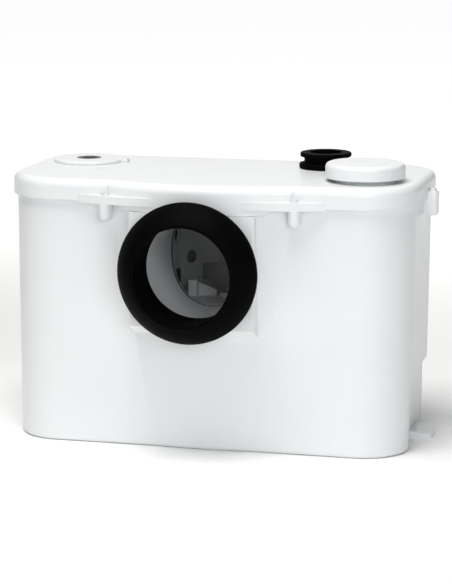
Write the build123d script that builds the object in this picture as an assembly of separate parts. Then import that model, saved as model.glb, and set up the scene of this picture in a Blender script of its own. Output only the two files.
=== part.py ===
from build123d import *
import math
import os

os.makedirs("parts", exist_ok=True)

BASE = (Align.CENTER, Align.CENTER, Align.MIN)

# Fits and cutting allowances
overrun = 6.0
running_gap = 0.05
slip_gap = 0.1
body_gap = 0.3
near = 1.0

# Tank: plan sizes at the rim and at the floor, which the ruled walls join
tank_height = 248.0
tank_half_width_top = 199.6
tank_half_width_bottom = 196.4
tank_rear_top = 91.5
tank_rear_bottom = 88.5
lobe_front_top = 90.5
lobe_front_bottom = 88.0
front_corner_top = 56.0
front_corner_bottom = 46.0
rear_corner_top = 44.0
rear_corner_bottom = 40.0
bulge_span_top = 93.0
bulge_span_bottom = 46.0
bulge_depth_top = 18.0
bulge_depth_bottom = 2.5
tank_wall = 3.0
tank_floor = 4.0
tank_base_round = 4.5
rim_width = 6.0
rim_depth = 8.0

# Side recess over each floor foot
recess_depth = 6.9
recess_front = -46.0
recess_height = 66.0
recess_slope_share = 1.0
recess_flare = 2.0
recess_corner_radius = 20.0

# Floor feet
foot_y = 20.0
foot_stand = 13.6
foot_root_half = 24.0
foot_tip_half = 11.0
foot_tip_thickness = 4.0
foot_root_thickness = 9.0
foot_channel_width = 11.0
foot_hole_radius = 2.75
foot_hole_inset = 8.0
foot_tip_round = 4.0

# Inlet axis, flat pad on the bulge and the tunnel that runs from it to the basket
inlet_x = -5.0
inlet_z = 180.0
pad_half_width = 61.5
pad_drop = 56.0
pad_slope_height = 12.0
pad_rise = 54.2
pad_stand = 1.5
pad_wall = 6.0
pad_side_wall = 3.0
pad_edge_round = 2.0
tunnel_bore = 49.5
tunnel_wall = 3.0
tunnel_shoulder = 3.0
gasket_thickness = 2.0

# Black pan connector
collar_length = 56.0
collar_lip = 37.0
collar_lip_depth = 8.0
collar_bore_rear = 49.2
collar_bore_front = 47.0
collar_neck_radius = 51.6
collar_rim_radius = 68.0
collar_rim_stand = 3.5
collar_rim_seat = 55.0
collar_rim_setback = 13.0
collar_rim_foot = 63.0
collar_heel_share = 0.7
collar_lip_wall = 3.0
collar_face_radius = 60.5
collar_face_rise = 9.0

# Lid
lid_overhang = 3.9
lid_wall = 3.4
lid_skirt_drop = 6.5
lid_rise = 14.0
lid_plate = 3.0
lid_edge_round = 8.0
lid_edge_width = 5.0
lid_valley_round = 14.0
lid_seal_height = 2.0
lid_seal_inset = 1.0
lid_seal_width = 4.0
lid_rib_height = 8.0
lid_rib_thickness = 2.0
lid_rib_pitch = 58.0
lid_ribs_a_side = 2
apron_drop = 13.5
apron_half_width = 70.0
notch_drop = 9.0
notch_half_top = 27.0
notch_half_bottom = 34.0

# Lid fixing screws with their ledges, ears and posts
fixing_x = 92.6
fixing_front_stand = 8.0
fixing_rear_stand = 8.0
fixing_side_stand = 8.0
fixing_side_y = 8.0
post_radius = 5.8
post_drop = 24.0
post_round = 3.5
post_headroom = 8.0
ledge_outer_reach = 29.5
ledge_inner_reach = 49.0
ledge_stand = 13.1
ear_radius = 6.0
screw_shank_radius = 2.0
screw_length = 20.0
screw_head_radius = 3.7
screw_head_height = 3.0
screw_head_pocket = 4.0
screw_recess_width = 1.2
screw_recess_depth = 1.4

# Shaft axis shared by grinder, motor and pump
shaft_x = -5.0
shaft_y = 27.0
shaft_radius = 6.0
shaft_end_radius = 4.0

# Grinder basket
basket_bore = 52.0
basket_wall = 2.0
motor_cover_height = 11.0
basket_headroom = 15.0
basket_rim_radius = 56.0
basket_flange_thickness = 3.0
basket_window_width = 26.0
basket_window_height = 16.0
basket_window_rise = 20.5
basket_window_turn = 116.0
basket_pitch = 60.0
basket_windows = 4
basket_hole_columns = 3
basket_hole_levels = (0, 2)
basket_hole_radius = 6.75
basket_hole_start = 37.0
basket_hole_pitch = 26.0
basket_cover_thickness = 2.5
basket_cover_slot_width = 5.0
basket_cover_slot_length = 26.0
basket_cover_slot_pitch = 10.0
basket_cover_slots = 5

# Grinding rotor
rotor_radius = 44.0
rotor_plate = 3.0
rotor_clearance = 1.3
rotor_hub_radius = 12.0
rotor_hub_height = 3.5
rotor_blades = 3
rotor_blade_turn = -165.0
lug_inner = 28.0
lug_outer = 38.0
lug_width = 9.0
lug_height = 16.0
lug_edge_round = 1.0
ramp_inner = 9.0
ramp_outer = 27.4
ramp_width = 6.0
ramp_low = 6.0
ramp_high = 14.0
rotor_nut_radius = 8.5
rotor_nut_height = 3.0

# Sealed motor between pump and basket
stack_radius = 56.0
stack_ear_circle = 57.5
stack_ear_radius = 5.5
stack_ear_turn = 45.0
stack_ears = 4
stack_screw_radius = 1.75
stack_screw_head = 3.4
stack_screw_head_height = 2.2
pump_height = 28.0
motor_can_height = 76.0
motor_can_radius = 50.0
motor_can_wall = 2.0
motor_flange = 3.0
motor_cover_plate = 4.0
stator_radius = 47.8
stator_rise = 21.0
stator_height = 36.0
stator_bore = 25.4
stator_slots = 12
stator_yoke = 8.0
stator_tooth_width = 5.0
stator_tip_width = 9.0
stator_tip_depth = 3.0
winding_height = 7.0
winding_inner = 30.0
winding_outer = 43.0
winding_bar_width = 5.4
winding_bar_outer = 39.0
winding_round = 2.5
armature_radius = 25.0
armature_ring = 2.5
armature_ring_inset = 3.0
bearing_radius = 16.0
bearing_width = 10.0
bearing_groove = 1.0
bearing_groove_inner = 9.0
bearing_groove_outer = 13.0
shaft_seal_radius = 12.0
shaft_seal_height = 6.0
shaft_seal_lip = 8.0
shaft_passage = 6.5
bearing_cup_wall = 3.0

# Pump under the motor
pump_bottom = 12.0
pump_plate = 4.0
pump_roof = 4.0
pump_lip = 1.0
scroll_start = 33.0
scroll_end = 39.5
scroll_wall = 3.0
scroll_points = 12
intake_radius = 16.0
impeller_radius = 30.0
impeller_disc = 3.0
impeller_hub_radius = 10.0
impeller_vanes = 5
impeller_vane = 2.4
impeller_vane_radius = 22.0
impeller_gap = 1.0
impeller_nut_radius = 7.0
impeller_nut_height = 5.0
pump_rubber_radius = 8.0
pump_foot_circle = 38.0
pump_feet = 4
floor_ring_height = 3.0
floor_ring_wall = 2.0

# Discharge line
outlet_x = 94.0
outlet_y = 43.0
outlet_offset = 31.0
pipe_radius = 11.0
pipe_bore = 8.5
outlet_reach = 68.0
elbow_wall = 2.6
elbow_socket = 12.0
elbow_bend = 24.0
elbow_rise = 15.0
riser_headroom = 76.0
valve_socket = 12.0
valve_seat_rise = 13.0
valve_seat_bore = 10.0
valve_seat_land = 13.0
valve_seat_height = 2.0
valve_chamber = 24.0
valve_wall = 2.5
valve_throat_rise = 4.0
valve_shoulder_rise = 8.0
valve_chamber_height = 39.0
valve_flange = 32.0
valve_flange_thickness = 3.0
spigot_radius = 16.0
spigot_bore = 13.0
spigot_rise = 6.0
valve_cone_height = 13.0
valve_screws = 4
valve_screw_circle = 29.2
valve_screw_radius = 1.25
valve_screw_bite = 2.5
valve_screw_head = 2.4
valve_screw_head_height = 2.0
flap_radius = 14.5
flap_thickness = 3.0
flap_pin_offset = 18.5
flap_pin_rise = 4.5
flap_pin_radius = 1.5
flap_knuckle_radius = 3.0
flap_knuckle_half = 5.0
flap_lug_width = 3.0
flap_neck_half = 4.0

# Black discharge sleeve on the lid
grommet_rise = 16.0
grommet_top_flange = 25.5
grommet_top_flange_thickness = 4.0
grommet_waist = 21.5
grommet_low_flange = 26.5
grommet_low_flange_thickness = 5.0
grommet_bore = 16.0
grommet_stop = 14.5
grommet_stop_height = 1.5
grommet_flare = 1.6
grommet_edge_round = 1.4

# Level switch column
bell_x = -135.0
bell_y = 0.0
bell_radius = 32.0
bell_wall = 2.5
bell_top = 146.0
bell_flange = 37.0
bell_flange_thickness = 4.0
bell_arch_width = 20.0
bell_arch_height = 14.0
bell_air_hole = 8.0
membrane_radius = 34.0
membrane_thickness = 1.6
plunger_head = 18.0
plunger_head_height = 2.5
plunger_stem = 4.0
plunger_length = 14.0
switch_travel = 2.0
button_radius = 2.0
button_length = 4.0
switch_length = 28.0
switch_width = 10.0
switch_height = 16.0

# Electrics box on the column
box_left = -182.0
box_right = -84.0
box_front = -44.0
box_rear = 52.0
box_floor = 3.0
box_wall = 2.5
box_headroom = 18.0
box_round = 8.0
box_lid_thickness = 2.5
box_lip = 3.0
box_hole_margin = 2.0
bracket_thickness = 1.5
bracket_foot = 7.0
bracket_half_length = 22.0
bracket_half_width = 9.0
bracket_rise = 3.5
bracket_back_height = 18.0
capacitor_radius = 17.0
capacitor_height = 56.0
capacitor_x = -106.0
capacitor_y = 30.0
capacitor_round = 3.0
terminal_x = -162.0
terminal_y = 30.0
terminal_length = 30.0
terminal_width = 18.0
terminal_height = 18.0
terminal_ways = 4
terminal_hole = 2.2
terminal_hole_depth = 10.0

# Cable gland on the rear wall
gland_x = -120.0
gland_drop = 34.0
gland_boss_radius = 14.0
gland_boss_proud = 2.0
gland_boss_sunk = 1.0
gland_thread_radius = 8.0
gland_hex = 11.0
gland_hex_height = 6.0
gland_dome_radius = 10.0
gland_dome_length = 11.0
gland_bore = 4.0
gland_passage = 5.2
gland_tail = 14.0
gland_nut_thickness = 5.0
gland_nut_radius = 12.0

# Service neck and lift-off cap
cap_x = 149.0
cap_y = -37.0
neck_radius = 30.0
neck_wall = 3.0
cap_radius = 38.5
cap_rise = 18.0
cap_stand = 4.0
cap_plate = 3.0
cap_wall = 2.5
cap_edge_round = 4.5
cap_plug_wall = 2.5
cap_plug_length = 15.0
cap_ring_height = 3.0
cap_ring_depth = 1.3
cap_ring_round_share = 0.33
cap_ring_rise = 5.0

# Vent on the left
vent_x = -151.0
vent_y = 38.0
vent_radius = 36.0
vent_height = 3.0
vent_edge_round = 1.6
vent_core_radius = 12.5
vent_hole_radius = 21.0
vent_plug_wall = 2.0
vent_plug_depth = 5.0
vent_core_flange = 14.0
vent_core_flange_thickness = 1.8
vent_lug_length = 6.0
vent_lug_width = 9.0
vent_slot_width = 1.6
vent_slot_length = 14.0
vent_slots = 5
vent_slot_pitch = 3.2
filter_cup_wall = 2.5
filter_cup_depth = 16.0
filter_height = 8.5
filter_cup_hole = 3.0
filter_cup_holes = 6
filter_cup_circle = 12.0

# Derived places
pad_bottom = inlet_z - pad_drop
pad_top = inlet_z + pad_rise
pad_slope_bottom = pad_bottom - pad_slope_height
pad_front = lobe_front_top + bulge_depth_top + pad_stand
recess_half_width = tank_half_width_bottom - recess_depth
foot_reach = tank_half_width_bottom + foot_stand
foot_hole_x = foot_reach - foot_hole_inset
lid_skirt_bottom = tank_height - lid_skirt_drop
lid_top = tank_height + lid_rise
apron_bottom = tank_height - apron_drop
notch_top = tank_height - notch_drop
fixing_front = lobe_front_top + fixing_front_stand
fixing_rear = tank_rear_top + fixing_rear_stand
fixing_side = tank_half_width_top + fixing_side_stand
post_bottom = tank_height - post_drop
post_top = tank_height - post_headroom
ledge_top = tank_height
ledge_front = lobe_front_top + ledge_stand
motor_bottom = pump_bottom + pump_height
motor_can_top = motor_bottom + motor_can_height
stator_bottom = motor_bottom + stator_rise
stator_top = stator_bottom + stator_height
basket_bottom = motor_can_top + motor_cover_height
basket_top = tank_height - basket_headroom
basket_window_z = basket_bottom + basket_window_rise
basket_hole_z = basket_bottom + basket_hole_start
rotor_bottom = basket_bottom + rotor_clearance
riser_top = tank_height - riser_headroom
valve_seat = riser_top + valve_seat_rise
valve_throat = riser_top + valve_throat_rise
valve_shoulder = riser_top + valve_shoulder_rise
valve_top = valve_seat + valve_chamber_height
valve_cone_top = valve_top + valve_cone_height
spigot_top = lid_top + spigot_rise
grommet_top = lid_top + grommet_rise
box_top = tank_height - box_headroom
gland_z = tank_height - gland_drop
cap_top = lid_top + cap_rise
cap_bottom = lid_top + cap_stand
cap_ring_z = lid_top + cap_ring_rise
lid_outset = -lid_overhang
pocket_outset = lid_wall - lid_overhang
lid_inner_top = lid_top - lid_plate
seal_top = tank_height + lid_seal_height
pad_inner = pad_wall - pad_front
collar_rear = collar_length - collar_lip - pad_front
collar_tip = -pad_front - collar_lip
tunnel_front = collar_rear + tunnel_shoulder
basket_outer = basket_bore + basket_wall
gasket_outer = basket_outer + running_gap + gasket_thickness
motor_top = basket_bottom
rotor_plate_top = rotor_bottom + rotor_plate
rotor_hub_top = rotor_bottom + rotor_hub_height
upper_seal_bottom = motor_can_top
upper_bearing_bottom = upper_seal_bottom - bearing_width
pump_floor = pump_bottom + pump_plate
pump_ceiling = motor_bottom - pump_roof
outlet_z = pump_floor + pipe_radius
impeller_bottom = pump_floor + impeller_gap
impeller_top = pump_ceiling - impeller_gap
impeller_nut_bottom = impeller_bottom - impeller_nut_height
lower_seal_bottom = pump_ceiling + pump_lip
lower_bearing_bottom = lower_seal_bottom + shaft_seal_height
lower_bearing_top = lower_bearing_bottom + bearing_width
cup_radius = bearing_radius + bearing_cup_wall
shaft_to_outlet = math.hypot(outlet_x - shaft_x, outlet_y - shaft_y)
outlet_turn = math.degrees(
    math.atan2(outlet_y - shaft_y, outlet_x - shaft_x)
    - math.asin(outlet_offset / shaft_to_outlet)
)
outlet_distance = math.sqrt(shaft_to_outlet ** 2 - outlet_offset ** 2)
elbow_radius = pipe_radius + elbow_wall
elbow_top = outlet_z + elbow_bend + elbow_rise
riser_bottom = elbow_top - elbow_socket
valve_bottom = riser_top - valve_socket
valve_floor = valve_seat - valve_seat_height
flap_bottom = valve_seat + body_gap
flap_axis_z = valve_seat + flap_pin_rise
flap_axis_y = outlet_y + flap_pin_offset
bell_membrane_top = bell_top + membrane_thickness
box_floor_top = bell_membrane_top + box_floor
box_hole = plunger_head + box_hole_margin
plunger_bottom = bell_membrane_top + body_gap
plunger_top = plunger_bottom + plunger_length
button_bottom = plunger_top + body_gap
switch_bottom = button_bottom + switch_travel + body_gap
bracket_z = box_floor_top + bracket_rise
gland_face = tank_rear_top + gland_boss_proud
gland_inner_face = tank_rear_bottom - tank_wall + gland_boss_sunk
neck_top = cap_top - cap_plate - body_gap
neck_bore = neck_radius - neck_wall
cap_plug_radius = neck_bore - body_gap
cup_bottom = lid_top - filter_cup_depth
vent_bottom = lid_top + body_gap
vent_top = vent_bottom + vent_height
bulge_radius_top = (bulge_span_top ** 2 + bulge_depth_top ** 2) / (2 * bulge_depth_top)
bulge_centre_top = bulge_radius_top - lobe_front_top - bulge_depth_top


def blend(low, high, share):
    return low + (high - low) * share


def rod(radius, bottom, top, at=(0, 0)):
    return Pos(at[0], at[1], bottom) * Cylinder(radius, top - bottom, align=BASE)


def tube(outer, inner, bottom, top, at=(0, 0)):
    bore = rod(inner, bottom - overrun, top + overrun, at)
    return rod(outer, bottom, top, at) - bore


def block(x_low, x_high, y_low, y_high, z_low, z_high):
    centre = Pos((x_low + x_high) / 2, (y_low + y_high) / 2, (z_low + z_high) / 2)
    return centre * Box(x_high - x_low, y_high - y_low, z_high - z_low)


def revolved(points, at=(0, 0)):
    profile = make_face(Polyline(*points, close=True))
    return Pos(at[0], at[1], 0) * revolve(Plane.XZ * profile, Axis.Z)


def around(count, start=0.0, full=360.0):
    return [start + full * step / count for step in range(count)]


def turned_about_shaft(angle):
    return Pos(shaft_x, shaft_y, 0) * Rot(0, 0, angle)


# Plan outline of the three-lobed housing at one height
def housing_outline(height, inset=0.0):
    share = height / tank_height
    half_width = blend(tank_half_width_bottom, tank_half_width_top, share)
    rear = blend(tank_rear_bottom, tank_rear_top, share)
    lobe = -blend(lobe_front_bottom, lobe_front_top, share)
    front_corner = blend(front_corner_bottom, front_corner_top, share) - inset
    rear_corner = blend(rear_corner_bottom, rear_corner_top, share) - inset
    span = blend(bulge_span_bottom, bulge_span_top, share)
    depth = blend(bulge_depth_bottom, bulge_depth_top, share)
    bulge_radius = (span ** 2 + depth ** 2) / (2 * depth)
    bulge_centre = lobe - depth + bulge_radius
    side = half_width - inset
    back = rear - inset
    front = lobe + inset
    nose = lobe - depth + inset
    valley = math.sqrt((bulge_radius - inset) ** 2 - (bulge_centre - front) ** 2)
    slant = math.sqrt(0.5)
    front_mid = front_corner * (1 - slant)
    rear_mid = rear_corner * (1 - slant)
    edges = [
        ThreePointArc((-valley, front), (0, nose), (valley, front)),
        Line((valley, front), (side - front_corner, front)),
        ThreePointArc(
            (side - front_corner, front),
            (side - front_mid, front + front_mid),
            (side, front + front_corner),
        ),
        Line((side, front + front_corner), (side, back - rear_corner)),
        ThreePointArc(
            (side, back - rear_corner),
            (side - rear_mid, back - rear_mid),
            (side - rear_corner, back),
        ),
        Line((side - rear_corner, back), (rear_corner - side, back)),
        ThreePointArc(
            (rear_corner - side, back),
            (rear_mid - side, back - rear_mid),
            (-side, back - rear_corner),
        ),
        Line((-side, back - rear_corner), (-side, front + front_corner)),
        ThreePointArc(
            (-side, front + front_corner),
            (front_mid - side, front + front_mid),
            (front_corner - side, front),
        ),
        Line((front_corner - side, front), (-valley, front)),
    ]
    return make_face(edges), valley, front, nose


def housing_block(inset, bottom, top):
    low = Pos(0, 0, bottom) * housing_outline(bottom, inset)[0]
    high = Pos(0, 0, top) * housing_outline(top, inset)[0]
    return loft([low, high], ruled=True)


# Plan of the lid, with its two valleys rounded so that the top edge can be rounded too
def lid_plan(inset):
    face, valley, front, nose = housing_outline(tank_height, inset)
    corners = [v for v in face.vertices() if abs(abs(v.X) - valley) < near and abs(v.Y - front) < near]
    return fillet(corners, lid_valley_round)


def at_fixings():
    # Each place is a plan position with the turn that points +Y at the housing wall
    places = [(side * fixing_x, -fixing_front, 0) for side in (-1, 1)]
    places += [(side * fixing_x, fixing_rear, 180) for side in (-1, 1)]
    places += [(side * fixing_side, fixing_side_y, side * 90) for side in (-1, 1)]
    return [Pos(x, y, 0) * Rot(0, 0, turn) for x, y, turn in places]


def tab_plan(radius):
    reach = 2 * post_radius
    return Circle(radius) + Pos(0, reach / 2) * Rectangle(2 * radius, reach)


def fixing_post():
    post = Pos(0, 0, post_bottom) * extrude(tab_plan(post_radius), post_top - post_bottom)
    return fillet(post.edges().group_by(Axis.Z)[0], post_round)


# Recess in a side wall over the floor foot, as a cutter that widens outward
def recess_profile(x, spread, rise):
    front = recess_front - spread
    top = recess_height + rise
    back = tank_rear_top + overrun
    slant = recess_corner_radius * (1 - math.sqrt(0.5))
    edges = [
        Line((front, -overrun), (front, top - recess_corner_radius)),
        ThreePointArc(
            (front, top - recess_corner_radius),
            (front + slant, top - slant),
            (front + recess_corner_radius, top),
        ),
        Line((front + recess_corner_radius, top), (back, top)),
        Line((back, top), (back, -overrun)),
        Line((back, -overrun), (front, -overrun)),
    ]
    return Plane.YZ.offset(x) * make_face(edges)


def recess_cutters(inset):
    reach = foot_reach - recess_half_width
    inner = recess_profile(recess_half_width - inset, inset, inset)
    outer = recess_profile(foot_reach, inset + recess_flare, inset + reach * recess_slope_share)
    right = loft([inner, outer], ruled=True)
    return right + mirror(right, Plane.YZ)


def floor_foot():
    root_x = recess_half_width - tank_wall / 2
    plan = make_face(Polyline(
        (root_x, foot_y - foot_root_half),
        (foot_reach, foot_y - foot_tip_half),
        (foot_reach, foot_y + foot_tip_half),
        (root_x, foot_y + foot_root_half),
        close=True,
    ))
    tips = [v for v in plan.vertices() if v.X > recess_half_width]
    plan = fillet(tips, foot_tip_round)
    side = Plane.XZ * make_face(Polyline(
        (root_x, 0),
        (foot_reach, 0),
        (foot_reach, foot_tip_thickness),
        (root_x, foot_root_thickness),
        close=True,
    ))
    wedge = Pos(0, foot_y, 0) * extrude(side, foot_root_half, both=True)
    foot = extrude(plan, foot_root_thickness) & wedge
    channel = block(
        recess_half_width + tank_wall, foot_reach + overrun,
        foot_y - foot_channel_width / 2, foot_y + foot_channel_width / 2,
        foot_tip_thickness, foot_root_thickness + overrun,
    )
    hole = rod(foot_hole_radius, -overrun, foot_root_thickness + overrun, (foot_hole_x, foot_y))
    return foot - channel - hole


# Shapes turned about the inlet axis, given as radius and distance along Y
def about_inlet(edges):
    ring = revolve(make_face(edges), Axis.Y)
    return Pos(inlet_x, 0, inlet_z) * ring


def inlet_rod(radius, front, rear):
    return Pos(inlet_x, front, inlet_z) * Rot(-90, 0, 0) * Cylinder(radius, rear - front, align=BASE)


def along_y(radius, front, rear, x, z):
    return Pos(x, front, z) * Rot(-90, 0, 0) * Cylinder(radius, rear - front, align=BASE)


def inlet_pad():
    side = Plane.YZ * make_face(Polyline(
        (-pad_front, pad_bottom),
        (-pad_front, pad_top),
        (-lobe_front_bottom, pad_top),
        (-lobe_front_bottom, pad_slope_bottom),
        close=True,
    ))
    pad = Pos(inlet_x, 0, 0) * extrude(side, pad_half_width, both=True)
    uprights = [e for e in pad.edges().filter_by(Axis.Z) if abs(e.center().Y + pad_front) < near]
    return fillet(uprights, pad_edge_round)


def pad_pocket():
    half = pad_half_width - pad_side_wall
    side = Plane.YZ * make_face(Polyline(
        (pad_inner, pad_bottom + pad_side_wall),
        (pad_inner, pad_top - pad_side_wall),
        (pad_inner + pad_front - lobe_front_bottom, pad_top - pad_side_wall),
        (pad_inner + pad_front - lobe_front_bottom, pad_slope_bottom + pad_side_wall),
        close=True,
    ))
    return Pos(inlet_x, 0, 0) * extrude(side, half, both=True)


def make_tank():
    body = housing_block(0, 0, tank_height)
    body = fillet(body.edges().group_by(Axis.Z)[0], tank_base_round)
    body -= recess_cutters(0)
    for place in at_fixings():
        body += place * fixing_post()
    body += inlet_pad()
    cavity = housing_block(tank_wall, tank_floor, tank_height - rim_depth)
    cavity -= recess_cutters(tank_wall)
    cavity += pad_pocket()
    cavity += housing_block(rim_width, tank_height - rim_depth - overrun, tank_height + overrun)
    body -= cavity
    body += inlet_rod(collar_neck_radius + slip_gap + tunnel_wall, pad_inner, tunnel_front)
    body -= inlet_rod(collar_neck_radius + slip_gap, -pad_front - overrun, collar_rear)
    body -= inlet_rod(tunnel_bore, collar_rear - overrun, tunnel_front + overrun)
    foot = floor_foot()
    body += foot
    body += mirror(foot, Plane.YZ)
    for place in at_fixings():
        body -= place * rod(screw_shank_radius + running_gap, ledge_top - screw_length, tank_height)
    boss = along_y(gland_boss_radius, gland_inner_face, gland_face, gland_x, gland_z)
    bore = along_y(gland_thread_radius + running_gap, 0, gland_face + overrun, gland_x, gland_z)
    body = body + boss - bore
    for turn in around(pump_feet):
        place = turned_about_shaft(turn) * Pos(pump_foot_circle, 0, 0)
        ring_outer = pump_rubber_radius + slip_gap + floor_ring_wall
        body += place * tube(
            ring_outer, pump_rubber_radius + slip_gap,
            tank_floor - tank_wall / 2, tank_floor + floor_ring_height,
        ) - place * rod(pump_rubber_radius + slip_gap, tank_floor, tank_height)
    return body


# Tunnel welded behind the tank's socket, cut to the curve of the basket's rubber saddle
def make_inlet_tunnel():
    body = inlet_rod(tunnel_bore + tunnel_wall, tunnel_front, shaft_y)
    body -= inlet_rod(tunnel_bore, tunnel_front - overrun, shaft_y + overrun)
    return body - rod(gasket_outer, 0, tank_height, (shaft_x, shaft_y))


def make_wc_collar():
    tip = collar_tip
    bore_lip = tip + collar_lip_depth
    seat = -pad_front
    back = seat - collar_rim_stand
    widest = back - collar_rim_setback
    heel_radius = blend(collar_rim_foot, collar_rim_radius, collar_heel_share)
    edges = [
        Line((collar_bore_rear, collar_rear), (collar_bore_front, bore_lip)),
        Line((collar_bore_front, bore_lip), (collar_bore_front, tip)),
        Line((collar_bore_front, tip), (collar_bore_front + collar_lip_wall, tip)),
        ThreePointArc(
            (collar_bore_front + collar_lip_wall, tip),
            (collar_face_radius, tip + collar_face_rise),
            (collar_rim_radius, widest),
        ),
        ThreePointArc(
            (collar_rim_radius, widest),
            (heel_radius, blend(back, widest, 1 - collar_heel_share)),
            (collar_rim_foot, back),
        ),
        Line((collar_rim_foot, back), (collar_rim_seat, back)),
        Line((collar_rim_seat, back), (collar_rim_seat, seat)),
        Line((collar_rim_seat, seat), (collar_neck_radius, seat)),
        Line((collar_neck_radius, seat), (collar_neck_radius, collar_rear)),
        Line((collar_neck_radius, collar_rear), (collar_bore_rear, collar_rear)),
    ]
    return about_inlet(edges)


def make_basket_gasket():
    ring = inlet_rod(tunnel_bore + tunnel_wall, -pad_front, shaft_y)
    ring -= inlet_rod(tunnel_bore, -pad_front - overrun, shaft_y + overrun)
    shell = tube(gasket_outer, basket_outer + running_gap, 0, tank_height, (shaft_x, shaft_y))
    return ring & shell


def lid_front_y(x):
    radius = bulge_radius_top + lid_overhang
    return bulge_centre_top - math.sqrt(radius ** 2 - x ** 2)


def lid_ledge():
    outer_x = fixing_x + ledge_outer_reach
    inner_x = fixing_x - ledge_inner_reach
    outer = (outer_x, -lobe_front_top - lid_overhang)
    inner = (inner_x, lid_front_y(inner_x))
    inside = -lobe_front_top + lid_edge_width
    plan = make_face([
        ThreePointArc(outer, (fixing_x, -ledge_front), inner),
        Line(inner, (inner_x, inside)),
        Line((inner_x, inside), (outer_x, inside)),
        Line((outer_x, inside), outer),
    ])
    return Pos(0, 0, post_top) * extrude(plan, ledge_top - post_top)


def lid_apron():
    slant = notch_half_bottom - notch_half_top
    span = apron_half_width + slant
    band = lid_plan(lid_outset) - housing_outline(tank_height, pocket_outset)[0]
    ring = Pos(0, 0, apron_bottom) * extrude(band, lid_skirt_bottom + overrun - apron_bottom)
    screen = Plane.XZ * make_face(Polyline(
        (inlet_x - apron_half_width, apron_bottom),
        (inlet_x + apron_half_width, apron_bottom),
        (inlet_x + span, lid_skirt_bottom),
        (inlet_x + span, lid_skirt_bottom + overrun),
        (inlet_x - span, lid_skirt_bottom + overrun),
        (inlet_x - span, lid_skirt_bottom),
        close=True,
    ))
    drop = (notch_top - apron_bottom) * 2
    notch = Plane.XZ * make_face(Polyline(
        (inlet_x - notch_half_top - slant * 2, notch_top - drop),
        (inlet_x + notch_half_top + slant * 2, notch_top - drop),
        (inlet_x + notch_half_top, notch_top),
        (inlet_x - notch_half_top, notch_top),
        close=True,
    ))
    reach = pad_front + lid_overhang + overrun
    return ring & (extrude(screen, reach) - extrude(notch, reach))


def lid_ribs():
    ribs = None
    half = tank_rear_top - rim_width
    low = lid_inner_top - lid_rib_height
    for step in range(-lid_ribs_a_side, lid_ribs_a_side + 1):
        x = step * lid_rib_pitch
        rib = block(
            x - lid_rib_thickness / 2, x + lid_rib_thickness / 2,
            -half, half, low, lid_inner_top,
        )
        ribs = rib if ribs is None else ribs + rib
    cross = block(
        -lid_ribs_a_side * lid_rib_pitch, lid_ribs_a_side * lid_rib_pitch,
        -lid_rib_thickness / 2, lid_rib_thickness / 2, low, lid_inner_top,
    )
    return ribs + cross


def make_lid():
    body = Pos(0, 0, lid_skirt_bottom) * extrude(lid_plan(lid_outset), lid_top - lid_skirt_bottom)
    body = fillet(body.edges().group_by(Axis.Z)[-1], lid_edge_round)
    body += lid_apron()
    ledge = lid_ledge()
    body += ledge
    body += mirror(ledge, Plane.YZ)
    ear = Pos(0, 0, post_top) * extrude(tab_plan(ear_radius), ledge_top - post_top)
    for place in at_fixings()[2:]:
        body += place * ear
    pocket = housing_outline(tank_height, pocket_outset)[0]
    body -= Pos(0, 0, post_top - overrun) * extrude(pocket, seal_top - post_top + overrun)
    hollow = housing_outline(tank_height, lid_edge_width)[0]
    body -= Pos(0, 0, seal_top - overrun) * extrude(hollow, lid_inner_top - seal_top + overrun)
    body += lid_ribs()
    neck_at = (cap_x, cap_y)
    vent_at = (vent_x, vent_y)
    body += rod(neck_radius, lid_inner_top, neck_top, neck_at)
    body -= rod(neck_bore, lid_inner_top - overrun, neck_top + overrun, neck_at)
    cup = rod(vent_hole_radius + filter_cup_wall, cup_bottom, lid_inner_top, vent_at)
    body += cup
    body -= rod(vent_hole_radius, cup_bottom + filter_cup_wall, lid_top + overrun, vent_at)
    for turn in around(filter_cup_holes):
        place = Pos(vent_x, vent_y, 0) * Rot(0, 0, turn) * Pos(filter_cup_circle, 0, 0)
        body -= place * rod(filter_cup_hole, cup_bottom - overrun, cup_bottom + overrun)
    spigot_at = (outlet_x, outlet_y)
    body -= rod(spigot_radius + body_gap, lid_inner_top - overrun, lid_top + overrun, spigot_at)
    for place in at_fixings():
        body -= place * rod(screw_shank_radius + body_gap, post_top - overrun, ledge_top + overrun)
        body -= place * rod(screw_head_pocket, ledge_top, lid_top + overrun)
    return body


def make_lid_seal():
    band = housing_outline(tank_height, lid_seal_inset)[0]
    band -= housing_outline(tank_height, lid_seal_inset + lid_seal_width)[0]
    return Pos(0, 0, tank_height) * extrude(band, lid_seal_height)


def make_lid_screws():
    head_top = ledge_top + screw_head_height
    screw = rod(screw_shank_radius, ledge_top - screw_length, ledge_top)
    screw += rod(screw_head_radius, ledge_top, head_top)
    for turn in (0, 90):
        screw -= Rot(0, 0, turn) * Pos(0, 0, head_top) * Box(
            2 * screw_head_radius - screw_recess_width, screw_recess_width, 2 * screw_recess_depth
        )
    return [place * screw for place in at_fixings()]


# Ears that carry the long screws through basket, motor and pump
def stack_ears_ring(bottom, top):
    ears = [
        turned_about_shaft(turn) * Pos(stack_ear_circle, 0, 0) * rod(stack_ear_radius, bottom, top)
        for turn in around(stack_ears, stack_ear_turn)
    ]
    return ears


def with_ears(body, bottom, top):
    for ear in stack_ears_ring(bottom, top):
        body += ear
    for turn in around(stack_ears, stack_ear_turn):
        place = turned_about_shaft(turn) * Pos(stack_ear_circle, 0, 0)
        body -= place * rod(stack_screw_radius + running_gap, bottom - overrun, top + overrun)
    return body


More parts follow.
